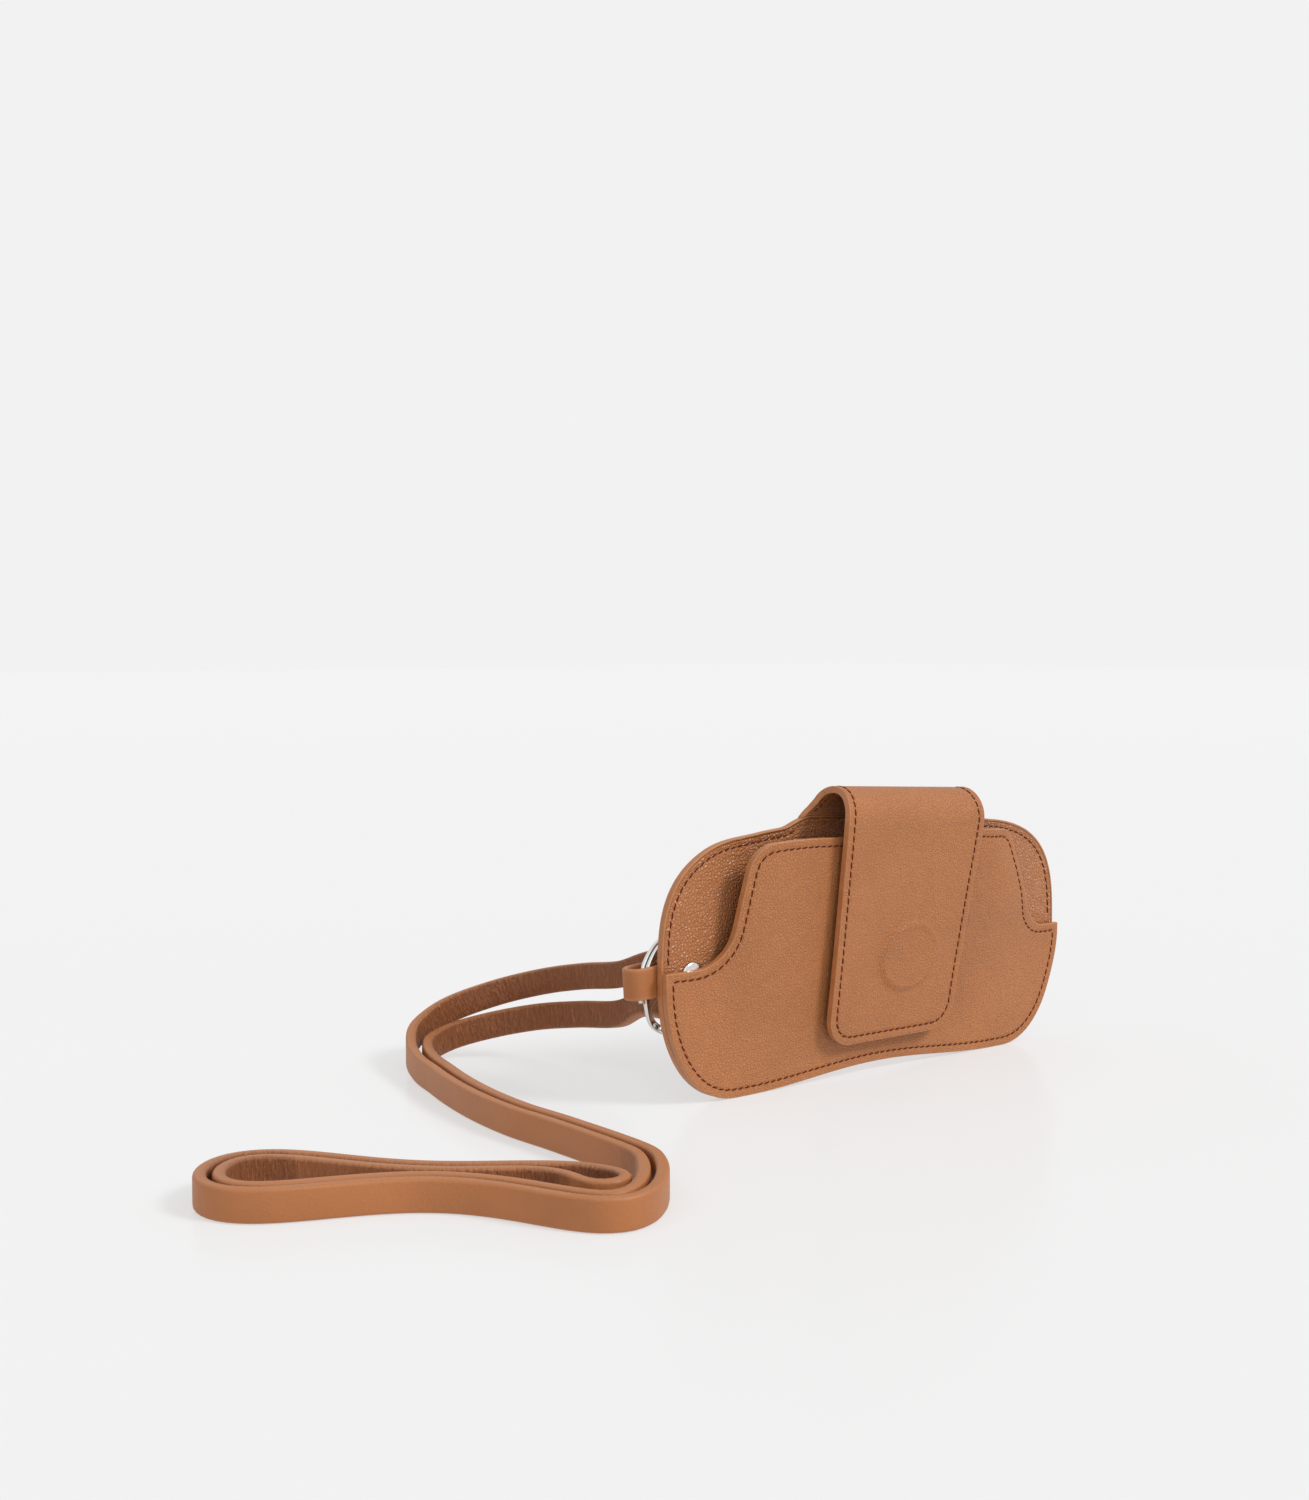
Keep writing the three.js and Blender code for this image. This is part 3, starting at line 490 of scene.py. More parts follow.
def settled(at):
    """The worn-in lie of the leather's top: the fold level for the eye and the back lower beside it."""
    near_fold = smooth_share(at.x, *FOLD_TILT_LEFT) * smooth_share(at.x, *FOLD_TILT_RIGHT)
    fold = -FOLD_TILT * at.x * smooth_share(at.z, *FOLD_TILT_RISE) * near_fold
    high = smooth_share(at.z, *DIP_RISE)
    right = smooth_share(at.x, *RIGHT_DIP_INNER) * smooth_share(at.x, *RIGHT_DIP_OUTER) * high
    left = smooth_share(at.x, *LEFT_DIP_INNER) * smooth_share(at.x, *LEFT_DIP_OUTER) * high
    rear = smooth_share(at.y, *DIP_REAR)
    return at + UP * (fold - (RIGHT_DIP * right + LEFT_DIP * left) * rear)


def end_lean(x, z):
    """How far the right end of the case leans out above its lower corner."""
    outward = smooth_share(x, END_LEAN_FROM, HALF_LENGTH)
    return END_LEAN * outward * smooth_share(z, END_LEAN_ABOVE, NOTCH_HEIGHT)


def back_surface(x, depth, z):
    """The back panel, with its show face to the rear."""
    return settled(Vector((x + end_lean(x, z), BACK_Y - depth, z)))


def front_surface(x, depth, z):
    """The front panel, which leans out towards its mouth."""
    swell = FRONT_SWELL * noise.noise(Vector((x, z, 0)) / FRONT_SWELL_SIZE) * min(1, gape(x, z) / 2)
    lie = (hump(x, *LEFT_LIFT) + hump(x, *RIGHT_LIFT)) * smooth_share(z, LIFT_ABOVE, MOUTH_HEIGHT)
    slump = hump(z, *SIDE_SLUMP) - TOP_SLUMP * smooth_share(z, *TOP_SLUMP_RISE)
    lie -= smooth_share(x, *NOTCH_SAG_SPAN) * smooth_share(z, *NOTCH_SAG_RISE)
    corner = math.exp(-(((x - CORNER_X) / CORNER_SPREAD) ** 2) - ((z - CORNER_HEIGHT) / CORNER_SPREAD) ** 2)
    lie += CORNER_LIFT * corner
    x += CORNER_ASIDE * corner
    aside = slump * smooth_share(x, *SLUMP_INNER) * smooth_share(x, *SLUMP_OUTER)
    aside += end_lean(x, z)
    return Vector((x + aside, SEAM_Y - PLY - gape(x, z) + depth + swell, z + lie))


# Lengths along the fold and the flap, from the back panel
FOLD_CROWN = FOLD_RADIUS * math.pi / 2
FOLD_END = FOLD_RADIUS * (math.pi + LEAN)
SPLIT_LENGTH = FOLD_RADIUS * FOLD_SPLIT
TONGUE_END = FOLD_END + (FLAP_TOP.z - FLAP_TIP_HEIGHT) / math.cos(LEAN)
BOSS_DOWN = FOLD_END + (FLAP_TOP.z - MAGNET_HEIGHT) / math.cos(LEAN)


def tongue_surface(x, depth, length):
    """The fold and the flap: an arch from the back panel, then a straight leaning flap."""
    x += BASE_DRIFT + (CROWN_DRIFT - BASE_DRIFT) * smooth_share(length, 0, FOLD_CROWN)
    x += (FRONT_DRIFT - CROWN_DRIFT) * smooth_share(length, FOLD_CROWN, FOLD_END)
    x += (TIP_DRIFT - FRONT_DRIFT) * smooth_share(length, FOLD_END, TONGUE_END)
    if length <= FOLD_END:
        turn = length / FOLD_RADIUS
        radius = FOLD_RADIUS - depth
        return settled(Vector((x, radius * math.cos(turn), FOLD_HEIGHT + radius * math.sin(turn))))
    down = length - FOLD_END
    roll = noise.noise(Vector((x, length, FLAP_SEED)) / FLAP_SWELL_SIZE)
    swell = FLAP_SWELL * roll * min(1, down / FLAP_SWELL_START)
    inward = Vector((0, math.cos(LEAN), math.sin(LEAN))) * (depth + swell)
    along = Vector((0, math.sin(LEAN), -math.cos(LEAN))) * down
    return settled(FLAP_TOP + Vector((x, 0, 0)) + inward + along)


def boss_rise(x, length):
    """The magnet's raised round under the flap's leather."""
    away = math.hypot((x - BOSS_X) / BOSS_STRETCH, length - BOSS_DOWN)
    plateau = smooth_share(away, BOSS_RADIUS + BOSS_SLOPE, BOSS_RADIUS - BOSS_SLOPE)
    ridge = math.exp(-(((away - BOSS_RADIUS + BOSS_RIDGE_IN) / BOSS_RIDGE_WIDTH) ** 2))
    return BOSS_RISE * plateau + BOSS_RIDGE * ridge


def tongue_half(length):
    """Half the width of the fold and the flap."""
    if length < FOLD_CROWN:
        flare = max(0.0, 1 - length / NECK_FLARE_LENGTH)
        widening = (CROWN_HALF - BASE_HALF) * smooth_share(length, 0, FOLD_CROWN)
        return BASE_HALF + widening + NECK_FLARE * flare ** NECK_FLARE_POWER
    if length < FOLD_END:
        return CROWN_HALF + (FRONT_HALF - CROWN_HALF) * smooth_share(length, FOLD_CROWN, FOLD_END)
    return FRONT_HALF + (TIP_HALF - FRONT_HALF) * (length - FOLD_END) / (TONGUE_END - FOLD_END)


def tongue_side(start, end, count):
    """Right side of the tongue between two lengths."""
    steps = [start + (end - start) * i / count for i in range(count + 1)]
    return [(tongue_half(s), s) for s in steps]


def flap_edge():
    """The flap's free edge, from the fold's split on the right, round the tip, to its split on the left."""
    side = tongue_side(SPLIT_LENGTH, TONGUE_END - TIP_CORNER, 50)
    middle = side[-1][0] - TIP_CORNER
    turns = [math.pi / 2 * i / 14 for i in range(1, 15)]
    start = TONGUE_END - TIP_CORNER
    corner = [(middle + TIP_CORNER * math.cos(t), start + TIP_CORNER * math.sin(t)) for t in turns]
    half = side + corner
    return half + [(0, TONGUE_END)] + [(-x, s) for x, s in reversed(half)]


# Meshes


def widest_faces(bm):
    """The show face and the inner face of a flat panel."""
    pair = sorted(bm.faces, key=lambda f: len(f.verts))[-2:]
    return sorted(pair, key=lambda f: f.calc_center_median().y)


def cut_panel(bm, facet):
    """Cuts a flat panel in X and Z into facets."""
    for axis in (Vector((1, 0, 0)), UP):
        places = [v.co.dot(axis) for v in bm.verts]
        low, high = min(places), max(places)
        count = round((high - low) / facet)
        for i in range(1, count):
            place = low + (high - low) * i / count
            geom = bm.verts[:] + bm.edges[:] + bm.faces[:]
            bmesh.ops.bisect_plane(bm, geom=geom, dist=CUT_SNAP, plane_co=axis * place, plane_no=axis)


def flat_panel(outline, near, far, rounding):
    """A closed flat panel between two depths, with rounded rims. Its rim faces get the second material."""
    bm = bmesh.new()
    face = bm.faces.new([bm.verts.new((x, near, z)) for x, z in outline])
    grown = bmesh.ops.extrude_face_region(bm, geom=[face])
    moved = [g for g in grown["geom"] if isinstance(g, bmesh.types.BMVert)]
    bmesh.ops.translate(bm, vec=(0, far - near, 0), verts=moved)
    bmesh.ops.recalc_face_normals(bm, faces=bm.faces[:])
    rims = [e for f in widest_faces(bm) for e in f.edges]
    bmesh.ops.bevel(
        bm, geom=rims, offset=rounding, offset_type="OFFSET", segments=3,
        profile=0.5, affect="EDGES", material=-1, clamp_overlap=True,
    )
    wide = widest_faces(bm)
    for f in bm.faces:
        f.material_index = 0 if f in wide else 1
    return bm


def inset_face(bm, side, thickness, depth=0.0, material=0):
    """Insets one of the panel's two wide faces."""
    face = widest_faces(bm)[side]
    ring = bmesh.ops.inset_region(
        bm, faces=[face], thickness=thickness, depth=depth, use_even_offset=True, use_boundary=True,
    )
    for f in ring["faces"]:
        f.material_index = material


def groove_loops(bm, side, inset, reach):
    """Loops on both sides of a stitch line, and one on it."""
    inset_face(bm, side, inset - reach)
    for _ in range(4):
        inset_face(bm, side, reach / 2)


class StitchLine:
    """Nearness of a place on a panel to its stitch line."""

    def __init__(self, edge, sizes):
        points = evenly(edge, STITCH_LINE_STEP)
        self.inset = sizes.inset / MM
        self.groove = sizes.groove / MM
        self.tree = KDTree(len(points))
        for i, p in enumerate(points):
            self.tree.insert((p.x, p.y, 0), i)
        self.tree.balance()

    def depth(self, x, z):
        """How far the thread draws the leather in at a place."""
        away = self.tree.find((x, z, 0))[2] - self.inset
        return self.groove * math.exp(-((away / GROOVE_WIDTH) ** 2))


def lay_panel(bm, surface, stitched, middle, raise_at=None):
    """Bends a flat panel onto its surface, drawn in along its stitches."""
    for v in bm.verts:
        x, depth, z = v.co
        draw = stitched.depth(x, z) if stitched else 0
        lift = raise_at(x, z) if raise_at else 0
        depth += draw - lift if depth < middle else -draw
        v.co = surface(x, depth, z)


def make_piece(name, bm, materials, nodes, body=None):
    """Makes an object of a mesh in millimetres, with its materials and its place in the frame."""
    if not bm.faces:
        raise RuntimeError(f"{name} came out without any faces")
    if max(v.co.length for v in bm.verts) > FARTHEST:
        raise RuntimeError(f"{name} has a point far outside the case")
    bmesh.ops.scale(bm, vec=Vector((MM, MM, MM)), verts=bm.verts[:])
    bmesh.ops.recalc_face_normals(bm, faces=bm.faces[:])
    mesh = bpy.data.meshes.new(name)
    bm.to_mesh(mesh)
    bm.free()
    mesh.shade_smooth()
    for material in materials:
        mesh.materials.append(material)
    obj = bpy.data.objects.new(name, mesh)
    bpy.context.scene.collection.objects.link(obj)
    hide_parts(*nodes)
    if body:
        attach(obj, body)
    return obj


def leather_piece(bm, piece, materials, body):
    """Makes a piece, given as its name and nodes, with broad faces kept flat beside their rounded rims."""
    obj = make_piece(piece[0], bm, materials, piece[1:], body)
    weighted = obj.modifiers.new("broad_faces", "WEIGHTED_NORMAL")
    weighted.keep_sharp = True
    return obj


def lined_panel(outer, lining, outline, edge, surface, facet, body=None, raise_at=None, loops=(True, True)):
    """A panel of outer leather, with a full rim all round, and the lining in its hollow.

    Outer and lining are each a piece's name and its nodes. Loops says which is cut along its stitches.
    """
    sizes, stitches = bpy.context.scene.case_leather, bpy.context.scene.case_stitches
    thick, rounding, wall = (v / MM for v in (sizes.outer, sizes.edge_round, sizes.edge_wall))
    inset = stitches.inset / MM
    sewn_line = StitchLine(edge, stitches)
    bm = flat_panel(outline, 0, PLY, rounding)
    if loops[0]:
        groove_loops(bm, 0, inset - rounding, GROOVE_REACH)
    inset_face(bm, 1, wall - rounding, material=1)
    inset_face(bm, 1, HOLLOW_STEP, depth=thick - PLY)
    cut_panel(bm, facet)
    lay_panel(bm, surface, sewn_line, PLY / 2, raise_at)
    materials = [leather_finish("tan_leather"), edge_finish("painted_edge")]
    outer_piece = leather_piece(bm, outer, materials, body)
    drawn = beside_line(outline, wall + LINING_GAP, closed=True)
    bm = flat_panel(drawn, thick + LINING_PLAY, PLY - LINING_PLAY, LINING_ROUND)
    if loops[1]:
        groove_loops(bm, 1, inset - wall - (LINING_GAP + LINING_ROUND), GROOVE_REACH)
    cut_panel(bm, facet)
    lay_panel(bm, surface, sewn_line if loops[1] else None, PLY / 2)
    materials = [lining_finish("pebbled_lining")] * 2
    return outer_piece, leather_piece(bm, lining, materials, body)


def rounded_section(wide, thick, corner, count=4):
    """A flat section with rounded corners, as (across, through) points in order."""
    points = []
    centres = ((1, 1, 0), (-1, 1, 90), (-1, -1, 180), (1, -1, 270))
    for across, through, start in centres:
        for i in range(count + 1):
            turn = math.radians(start + 90 * i / count)
            a = across * (wide / 2 - corner) + corner * math.cos(turn)
            t = through * (thick / 2 - corner) + corner * math.sin(turn)
            points.append((a, t))
    return points


def swept_strip(stations, section):
    """A closed strip: a section carried along stations of (place, direction of its width, inside).

    Inside is how far a station's right side (above zero) or left side (below zero) is an inner bend; it
    makes the crease layer, which gives wrinkles and painted shade.
    """
    bm = bmesh.new()
    rows, columns = len(stations), len(section)
    layers = {key: bm.verts.layers.float.new(key) for key in ("along", "across", "through", "crease_and_shade")}
    bmesh.ops.create_grid(bm, x_segments=columns, y_segments=rows - 1, size=1)
    frames = []
    along_length = 0.0
    for j, (at, wide, inside) in enumerate(stations):
        before, after = stations[max(0, j - 1)][0], stations[min(rows - 1, j + 1)][0]
        ahead = (after - before).normalized()
        across = (wide - ahead * wide.dot(ahead)).normalized()
        along_length += (at - stations[j - 1][0]).length if j else 0
        frames.append((at, across, ahead.cross(across), along_length, inside))
    deepest = max(t for _, t in section)
    for v in bm.verts:
        i = round((v.co.x + 1) / 2 * columns) % columns
        j = round((v.co.y + 1) / 2 * (rows - 1))
        at, across, through, length, inside = frames[j]
        a, t = section[i]
        v.co = at + across * a + through * t
        v[layers["along"]] = length * MM
        v[layers["across"]] = a * MM
        v[layers["through"]] = t * MM
        # Crease layer: inner faces of bends, read for wrinkles and for painted shade.
        v[layers["crease_and_shade"]] = max(0.0, inside * t / deepest)
    bmesh.ops.remove_doubles(bm, verts=bm.verts[:], dist=1e-4)
    bmesh.ops.holes_fill(bm, edges=[e for e in bm.edges if e.is_boundary], sides=0)
    return bm


def plan_bends(line, reach):
    """Turn to the left in radians per 10 millimetres of a line in plan, averaged over its neighbours."""
    turns = [0.0]
    for a, b, c in zip(line, line[1:], line[2:]):
        before, after = (b - a).normalized(), (c - b).normalized()
        turns.append(10 * (before.x * after.y - before.y * after.x) / (c - b).length)
    turns.append(0.0)
    windows = [turns[max(0, i - reach):i + reach + 1] for i in range(len(turns))]
    return [sum(w) / len(w) for w in windows]


def smooth_route(points, step):
    """A smooth curve through the points, calm where they lie close, as evenly spaced points."""
    line = [Vector(p) for p in points]
    line = [2 * line[0] - line[1]] + line + [2 * line[-1] - line[-2]]
    dense = []
    for p0, p1, p2, p3 in zip(line, line[1:], line[2:], line[3:]):
        d0, d1, d2 = (math.sqrt((b - a).length) for a, b in ((p0, p1), (p1, p2), (p2, p3)))
        leave = ((p1 - p0) / d0 - (p2 - p0) / (d0 + d1) + (p2 - p1) / d1) * d1
        arrive = ((p2 - p1) / d1 - (p3 - p1) / (d1 + d2) + (p3 - p2) / d2) * d1
        dense += interpolate_bezier(p1, p1 + leave / 3, p2 - arrive / 3, p2, 25)[:-1]
    dense.append(line[-2])
    return evenly(dense, step)


# Neck strap


def ring_towards():
    """Direction from the ring's tab side to its strap side."""
    return Vector((RING_AXIS.y, -RING_AXIS.x, 0))


def strap_seat(turn):
    """Where a strap end sits on the ring, and the direction of its width."""
    towards = ring_towards()
    at = RING_CENTRE + STRAP_REACH * (towards * math.cos(turn) + UP * math.sin(turn))
    return at, UP * math.cos(turn) - towards * math.sin(turn)


def beside(at, ahead, sideways, raised):
    """A place to the right of a direction in plan, and raised."""
    right = Vector((ahead.y, -ahead.x, 0)).normalized()
    return at + right * sideways + UP * raised


def hank_point(share):
    """Middle line of the hank, from its start to the root of its last bend."""
    turn = HANK_START + (HANK_END - HANK_START) * share
    inward = max(0.0, turn / HANK_END) ** 2
    half = HANK_HALF_LENGTH - HANK_SHRINK * inward
    bulge = HANK_BULGE * (1 + HANK_SKEW * math.cos(turn))
    waist = HANK_HALF_WAIST * math.sin(turn) * (1 + bulge * math.cos(turn) ** 2)
    y = waist * (1 - inward ** 2) + HANK_INNER_SHIFT * inward ** 2
    lie = Matrix.Rotation(HANK_TURN, 3, "Z") @ Vector((half * math.cos(turn), y, 0))
    width = bpy.context.scene.case_strap.width / MM
    return HANK_CENTRE + lie + UP * (width / 2 + STRAP_LIFT)


def hank_direction(share):
    """Direction of the hank's middle line."""
    small = 1e-3
    return (hank_point(min(1, share + small)) - hank_point(max(0, share - small))).normalized()


def hank_strand(sign):
    """One strand of the hank. Sign 1 is the strand from the ring's upper loop."""
    open_from = 1 - TEARDROP_SPAN / (HANK_START - HANK_END)
    strand = []
    for i in range(HANK_STEPS + 1):
        share = i / HANK_STEPS
        spacing = HANK_SPACING + (TEARDROP_WIDTH - HANK_SPACING) * smooth_share(share, open_from, 1)
        strand.append(beside(hank_point(share), hank_direction(share), sign * spacing / 2, 0))
    return strand


def teardrop_bend():
    """The strap's last bend, from one strand to the other."""
    ahead, root = hank_direction(1), hank_point(1)
    bend = []
    for i in range(1, TEARDROP_STEPS):
        turn = math.pi * i / TEARDROP_STEPS
        reach = root + ahead * (TEARDROP_WIDTH / 2 * math.sin(turn))
        bend.append(beside(reach, ahead, TEARDROP_WIDTH / 2 * math.cos(turn), 0))
    return bend


def strap_run(seat, sign):
    """One strand from its loop on the ring to the hank."""
    middle = [Vector(p[:3]) for p in STRAP_ROUTE]
    followed = middle[1:] + [hank_point(0)]
    route = []
    for i, at in enumerate(middle):
        ahead = followed[i] - middle[max(0, i - 1)]
        route.append(beside(at, ahead, sign * STRAP_ROUTE[i][3], sign * STRAP_ROUTE[i][4]))
    width = bpy.context.scene.case_strap.width / MM
    tail = [seat + RING_AXIS * (STRAP_TAIL + extra) for extra in (0, width)]
    return tail + route


def strap_stations():
    """The whole strap from its upper loop, round the hank and back to its lower loop."""
    (upper, upper_wide), (lower, lower_wide) = (strap_seat(STRAP_SEAT + s * STRAP_FAN) for s in (1, -1))
    hank = hank_strand(1) + teardrop_bend() + hank_strand(-1)[::-1]
    route = strap_run(upper, 1) + hank[::3] + strap_run(lower, -1)[::-1]
    line = smooth_route(route, STRAP_STEP)
    length = STRAP_STEP * (len(line) - 1)
    bends = plan_bends(line, BEND_REACH)
    stations = []
    for i, at in enumerate(line):
        run = STRAP_STEP * i
        start = min(1.0, run / STRAP_UNTWIST)
        end = min(1.0, (length - run) / STRAP_UNTWIST)
        leaving = run < length / 2
        wide = upper_wide.lerp(UP, start) if leaving else lower_wide.lerp(UP, end)
        side = 1 if leaving else -1
        from_ring = min(run, length - run)
        tight = smooth_share(abs(bends[i]), *BEND_TIGHT)
        inside = -math.copysign(tight, bends[i])
        # The hank's strands and the runs near the ring also get an inner face, for wrinkles and painted
        # shade.
        inside += (side / 2 - inside) * (1 - tight) * smooth_share(from_ring, *HANK_FROM)
        inside += (-side - inside) * smooth_share(from_ring, RUN_INSIDE, RUN_INSIDE - RUN_FADE)
        stations.append((at, wide, inside))
    return stations


def loop_line(cavity, leather, centre, straight, taper, tail):
    """Middle line of a folded strip in plan: two plies, a round bend at the origin and a double tail."""
    bend = cavity + leather / 2
    line = [(tail, leather / 2), (straight + taper, leather / 2), (straight, centre + bend)]
    for i in range(13):
        turn = math.pi / 2 + math.pi * i / 12
        line.append((bend * math.cos(turn), centre + bend * math.sin(turn)))
    line += [(straight, centre - bend), (straight + taper, -leather / 2), (tail, -leather / 2)]
    spread = evenly(line, LOOP_STEP)
    for _ in range(3):
        inner = [(a + 2 * b + c) / 4 for a, b, c in zip(spread, spread[1:], spread[2:])]
        spread = [spread[0]] + inner + [spread[-1]]
    return spread


class CASE_OT_neck_strap(Operator):
    """Builds the neck strap and its two end loops."""

    bl_idname = "leather_case.neck_strap"
    bl_label = "Neck strap"

    def execute(self, context):
        sizes = context.scene.case_strap
        width, thick, corner = (v / MM for v in (sizes.width, sizes.thick, sizes.corner))
        finish = strap_finish("strap_leather")
        stations = strap_stations()
        bm = swept_strip(stations, rounded_section(width, thick, corner))
        runs = ("strap_upper_run", "strap_lower_run", "strap_hank")
        strap = make_piece("neck_strap", bm, [finish], runs, "case")
        for side, sign in (("upper", 1), ("lower", -1)):
            at, wide = strap_seat(STRAP_SEAT + sign * STRAP_FAN)
            aside = wide.cross(RING_AXIS)
            line = loop_line(STRAP_CAVITY, thick / 2, 0, 0, STRAP_TAPER, STRAP_TAIL)
            bent = [(at + RING_AXIS * x + aside * y, wide, 0) for x, y in line]
            loop = swept_strip(bent, rounded_section(width, thick / 2 - PLY_GAP, corner / 2))
            node = f"strap_loop_{side}"
            make_piece(f"strap_end_{side}", loop, [finish], [node], "case")
        path = [station[0] * MM for station in stations]
        length = sum((b - a).length for a, b in zip(path, path[1:]))
        return {"FINISHED"}


class CASE_OT_split_ring(Operator):
    """Builds the split ring, two turns of flat wire."""

    bl_idname = "leather_case.split_ring"
    bl_label = "Split ring"

    def execute(self, context):
        towards = ring_towards()
        start, end = RING_STEP / 2, 4 * math.pi - RING_STEP / 2
        stations = []
        for i in range(RING_STATIONS + 1):
            wound = start + (end - start) * i / RING_STATIONS
            step = smooth_share(wound - 2 * math.pi, -RING_STEP / 2, RING_STEP / 2)
            axial = RING_PITCH * (step - 0.5)
            turn = RING_SPLIT + wound
            out = towards * math.cos(turn) + UP * math.sin(turn)
            stations.append((RING_CENTRE + out * RING_RADIUS + RING_AXIS * axial, out, 0))
        bm = swept_strip(stations, rounded_section(RING_WIRE_RADIAL, RING_WIRE_AXIAL, RING_ROUND))
        make_piece("key_ring", bm, [nickel_finish("polished_nickel")], ["split_ring"], "ring")
        return {"FINISHED"}


class CASE_OT_ring_tab(Operator):
    """Builds the riveted leather tab that holds the ring."""

    bl_idname = "leather_case.ring_tab"
    bl_label = "Ring tab and rivet"

    def execute(self, context):
        seat = BACK_Y + TAB_SEAT_GAP + TAB_LEATHER
        tilt = Matrix.Rotation(-TAB_TILT, 3, "Y")
        line = loop_line(TAB_CAVITY, TAB_LEATHER, TAB_CAVITY, TAB_STRAIGHT, TAB_TAPER, TAB_TAIL)
        rivet = Vector((RIVET_X, 0, RIVET_HEIGHT))
        stations = [(rivet + tilt @ Vector((x + TAB_LOOP_X, y + seat, 0)), tilt @ UP, 0) for x, y in line]
        bm = swept_strip(stations, rounded_section(TAB_WIDTH, TAB_LEATHER - PLY_GAP, TAB_ROUND))
        finish = strap_finish("tab_leather")
        make_piece("ring_tab_leather", bm, [finish], ["ring_tab"], "case")
        nickel = nickel_finish("rivet_nickel")
        cap = dome(rivet + Vector((0, LINING_Y - RIVET_GAP, 0)), -1)
        make_piece("rivet_dome", cap, [nickel], ["rivet_cap"], "case")
        head = dome(rivet + Vector((0, seat + TAB_LEATHER + RIVET_GAP, 0)), 1)
        make_piece("rivet_head", head, [nickel], ["rivet_post"], "case")
        return {"FINISHED"}


def dome(at, side):
    """A rivet's head on a short post, with its dome towards a side along Y."""
    bm = bmesh.new()
    profile = [(RIVET_POST_RADIUS, -RIVET_POST_DEPTH), (RIVET_POST_RADIUS, 0)]
    profile += [(RIVET_RADIUS - RIVET_RIM_IN, 0), (RIVET_RADIUS, RIVET_RIM)]
    for i in range(1, 9):
        turn = math.pi / 2 * i / 8
        height = RIVET_RIM + (RIVET_RISE - RIVET_RIM) * math.sin(turn)
        profile.append((RIVET_RADIUS * math.cos(turn), height))
    verts = [bm.verts.new((r, side * y, 0)) for r, y in profile]
    edges = [bm.edges.new(pair) for pair in zip(verts, verts[1:])]
    bmesh.ops.spin(
        bm, geom=verts + edges, cent=(0, 0, 0), axis=(0, 1, 0), angle=2 * math.pi, steps=48, use_merge=True,
    )
    bmesh.ops.remove_doubles(bm, verts=bm.verts[:], dist=1e-3)
    bmesh.ops.holes_fill(bm, edges=[e for e in bm.edges if e.is_boundary], sides=0)
    bmesh.ops.translate(bm, vec=at, verts=bm.verts[:])
    return bm


def closed_outline(step, *stretches):
    """An outline from stretches that run counter-clockwise and meet in corners."""
    outline = []
    for stretch in stretches:
        line = evenly(stretch, step)
        clear = [p for p in line if min((p - line[0]).length, (p - line[-1]).length) > CORNER_CLEAR]
        outline += [line[0]] + (clear or line[1:-1])
    return outline


class CASE_OT_back_panel(Operator):
    """Builds the back panel and its lining."""

    bl_idname = "leather_case.back_panel"
    bl_label = "Back panel"

    def execute(self, context):
        flat = BASE_HALF + NECK_FLARE
        line = mirrored(back_top_half())
        top = [(x, min(z, FOLD_HEIGHT) if abs(x) < flat else z) for x, z in line]
        outline = closed_outline(OUTLINE_STEP, mirrored(BOTTOM), top[::-1])
        facet = context.scene.case_leather.facet / MM
        lined_panel(
            ("back_panel_leather", "back_outer"), ("back_panel_lining", "back_lining"),
            outline, outline, back_surface, facet, "case",
        )
        return {"FINISHED"}


class CASE_OT_front_panel(Operator):
    """Builds the front panel and its lining."""

    bl_idname = "leather_case.front_panel"
    bl_label = "Front panel"

    def execute(self, context):
        end = [(HALF_LENGTH, NOTCH_HEIGHT)]
        outline = closed_outline(OUTLINE_STEP, mirrored(BOTTOM + end), mirrored(mouth_half())[::-1])
        facet = context.scene.case_leather.facet / MM
        lined_panel(
            ("front_panel_leather", "front_outer"), ("front_panel_lining", "front_lining"),
            outline, outline, front_surface, facet, "case", loops=(True, False),
        )
        return {"FINISHED"}


class CASE_OT_fold(Operator):
    """Builds the rear of the fold, which bends between the case and the fold."""

    bl_idname = "leather_case.fold"
    bl_label = "Fold"

    def execute(self, context):
        side = evenly(tongue_side(0, SPLIT_LENGTH, 30), FOLD_STEP)
        left = [(-p.x, p.y) for p in reversed(side)]
        outline = closed_outline(FOLD_STEP, [left[-1], side[0]], side, [side[-1], left[0]], left)
        facet = context.scene.case_leather.fine_facet / MM
        pieces = lined_panel(
            ("fold_leather", "fold_outer"), ("fold_lining_leather", "fold_lining"),
            outline, side, tongue_surface, facet, loops=(False, False),
        )
        for piece in pieces:
            bend_at_rear(piece)
        return {"FINISHED"}


def bend_at_rear(piece):
    """The rear of the fold bends with the flap's first hinge."""
    top = FOLD_HEIGHT + FOLD_RADIUS * math.sin(FOLD_SPLIT)
    start = Vector((0, FOLD_RADIUS, FOLD_HEIGHT + 0.5)) * MM
    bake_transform(piece, "case", "fold", start=start, end=Vector((0, FOLD_RADIUS, top - 0.2)) * MM)


def bend_at_front(piece):
    """The front of the fold bends with the flap's second hinge."""
    start = FLAP_TOP + UP * BEND_ABOVE
    end = FLAP_TOP - UP * BEND_BELOW
    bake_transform(piece, "fold", "flap", start=start * MM, end=end * MM)


class CASE_OT_flap(Operator):
    """Builds the front of the fold and the flap."""

    bl_idname = "leather_case.flap"
    bl_label = "Flap"

    def execute(self, context):
        edge = flap_edge()
        outline = closed_outline(FLAP_STEP, edge, [edge[-1], edge[0]])
        facet = context.scene.case_leather.fine_facet / MM
        pieces = lined_panel(
            ("flap_leather", "flap_outer", "fold_outer"),
            ("flap_lining_leather", "flap_lining", "fold_lining"),
            outline, edge, tongue_surface, facet, raise_at=boss_rise,
        )
        for piece in pieces:
            bend_at_front(piece)
        return {"FINISHED"}


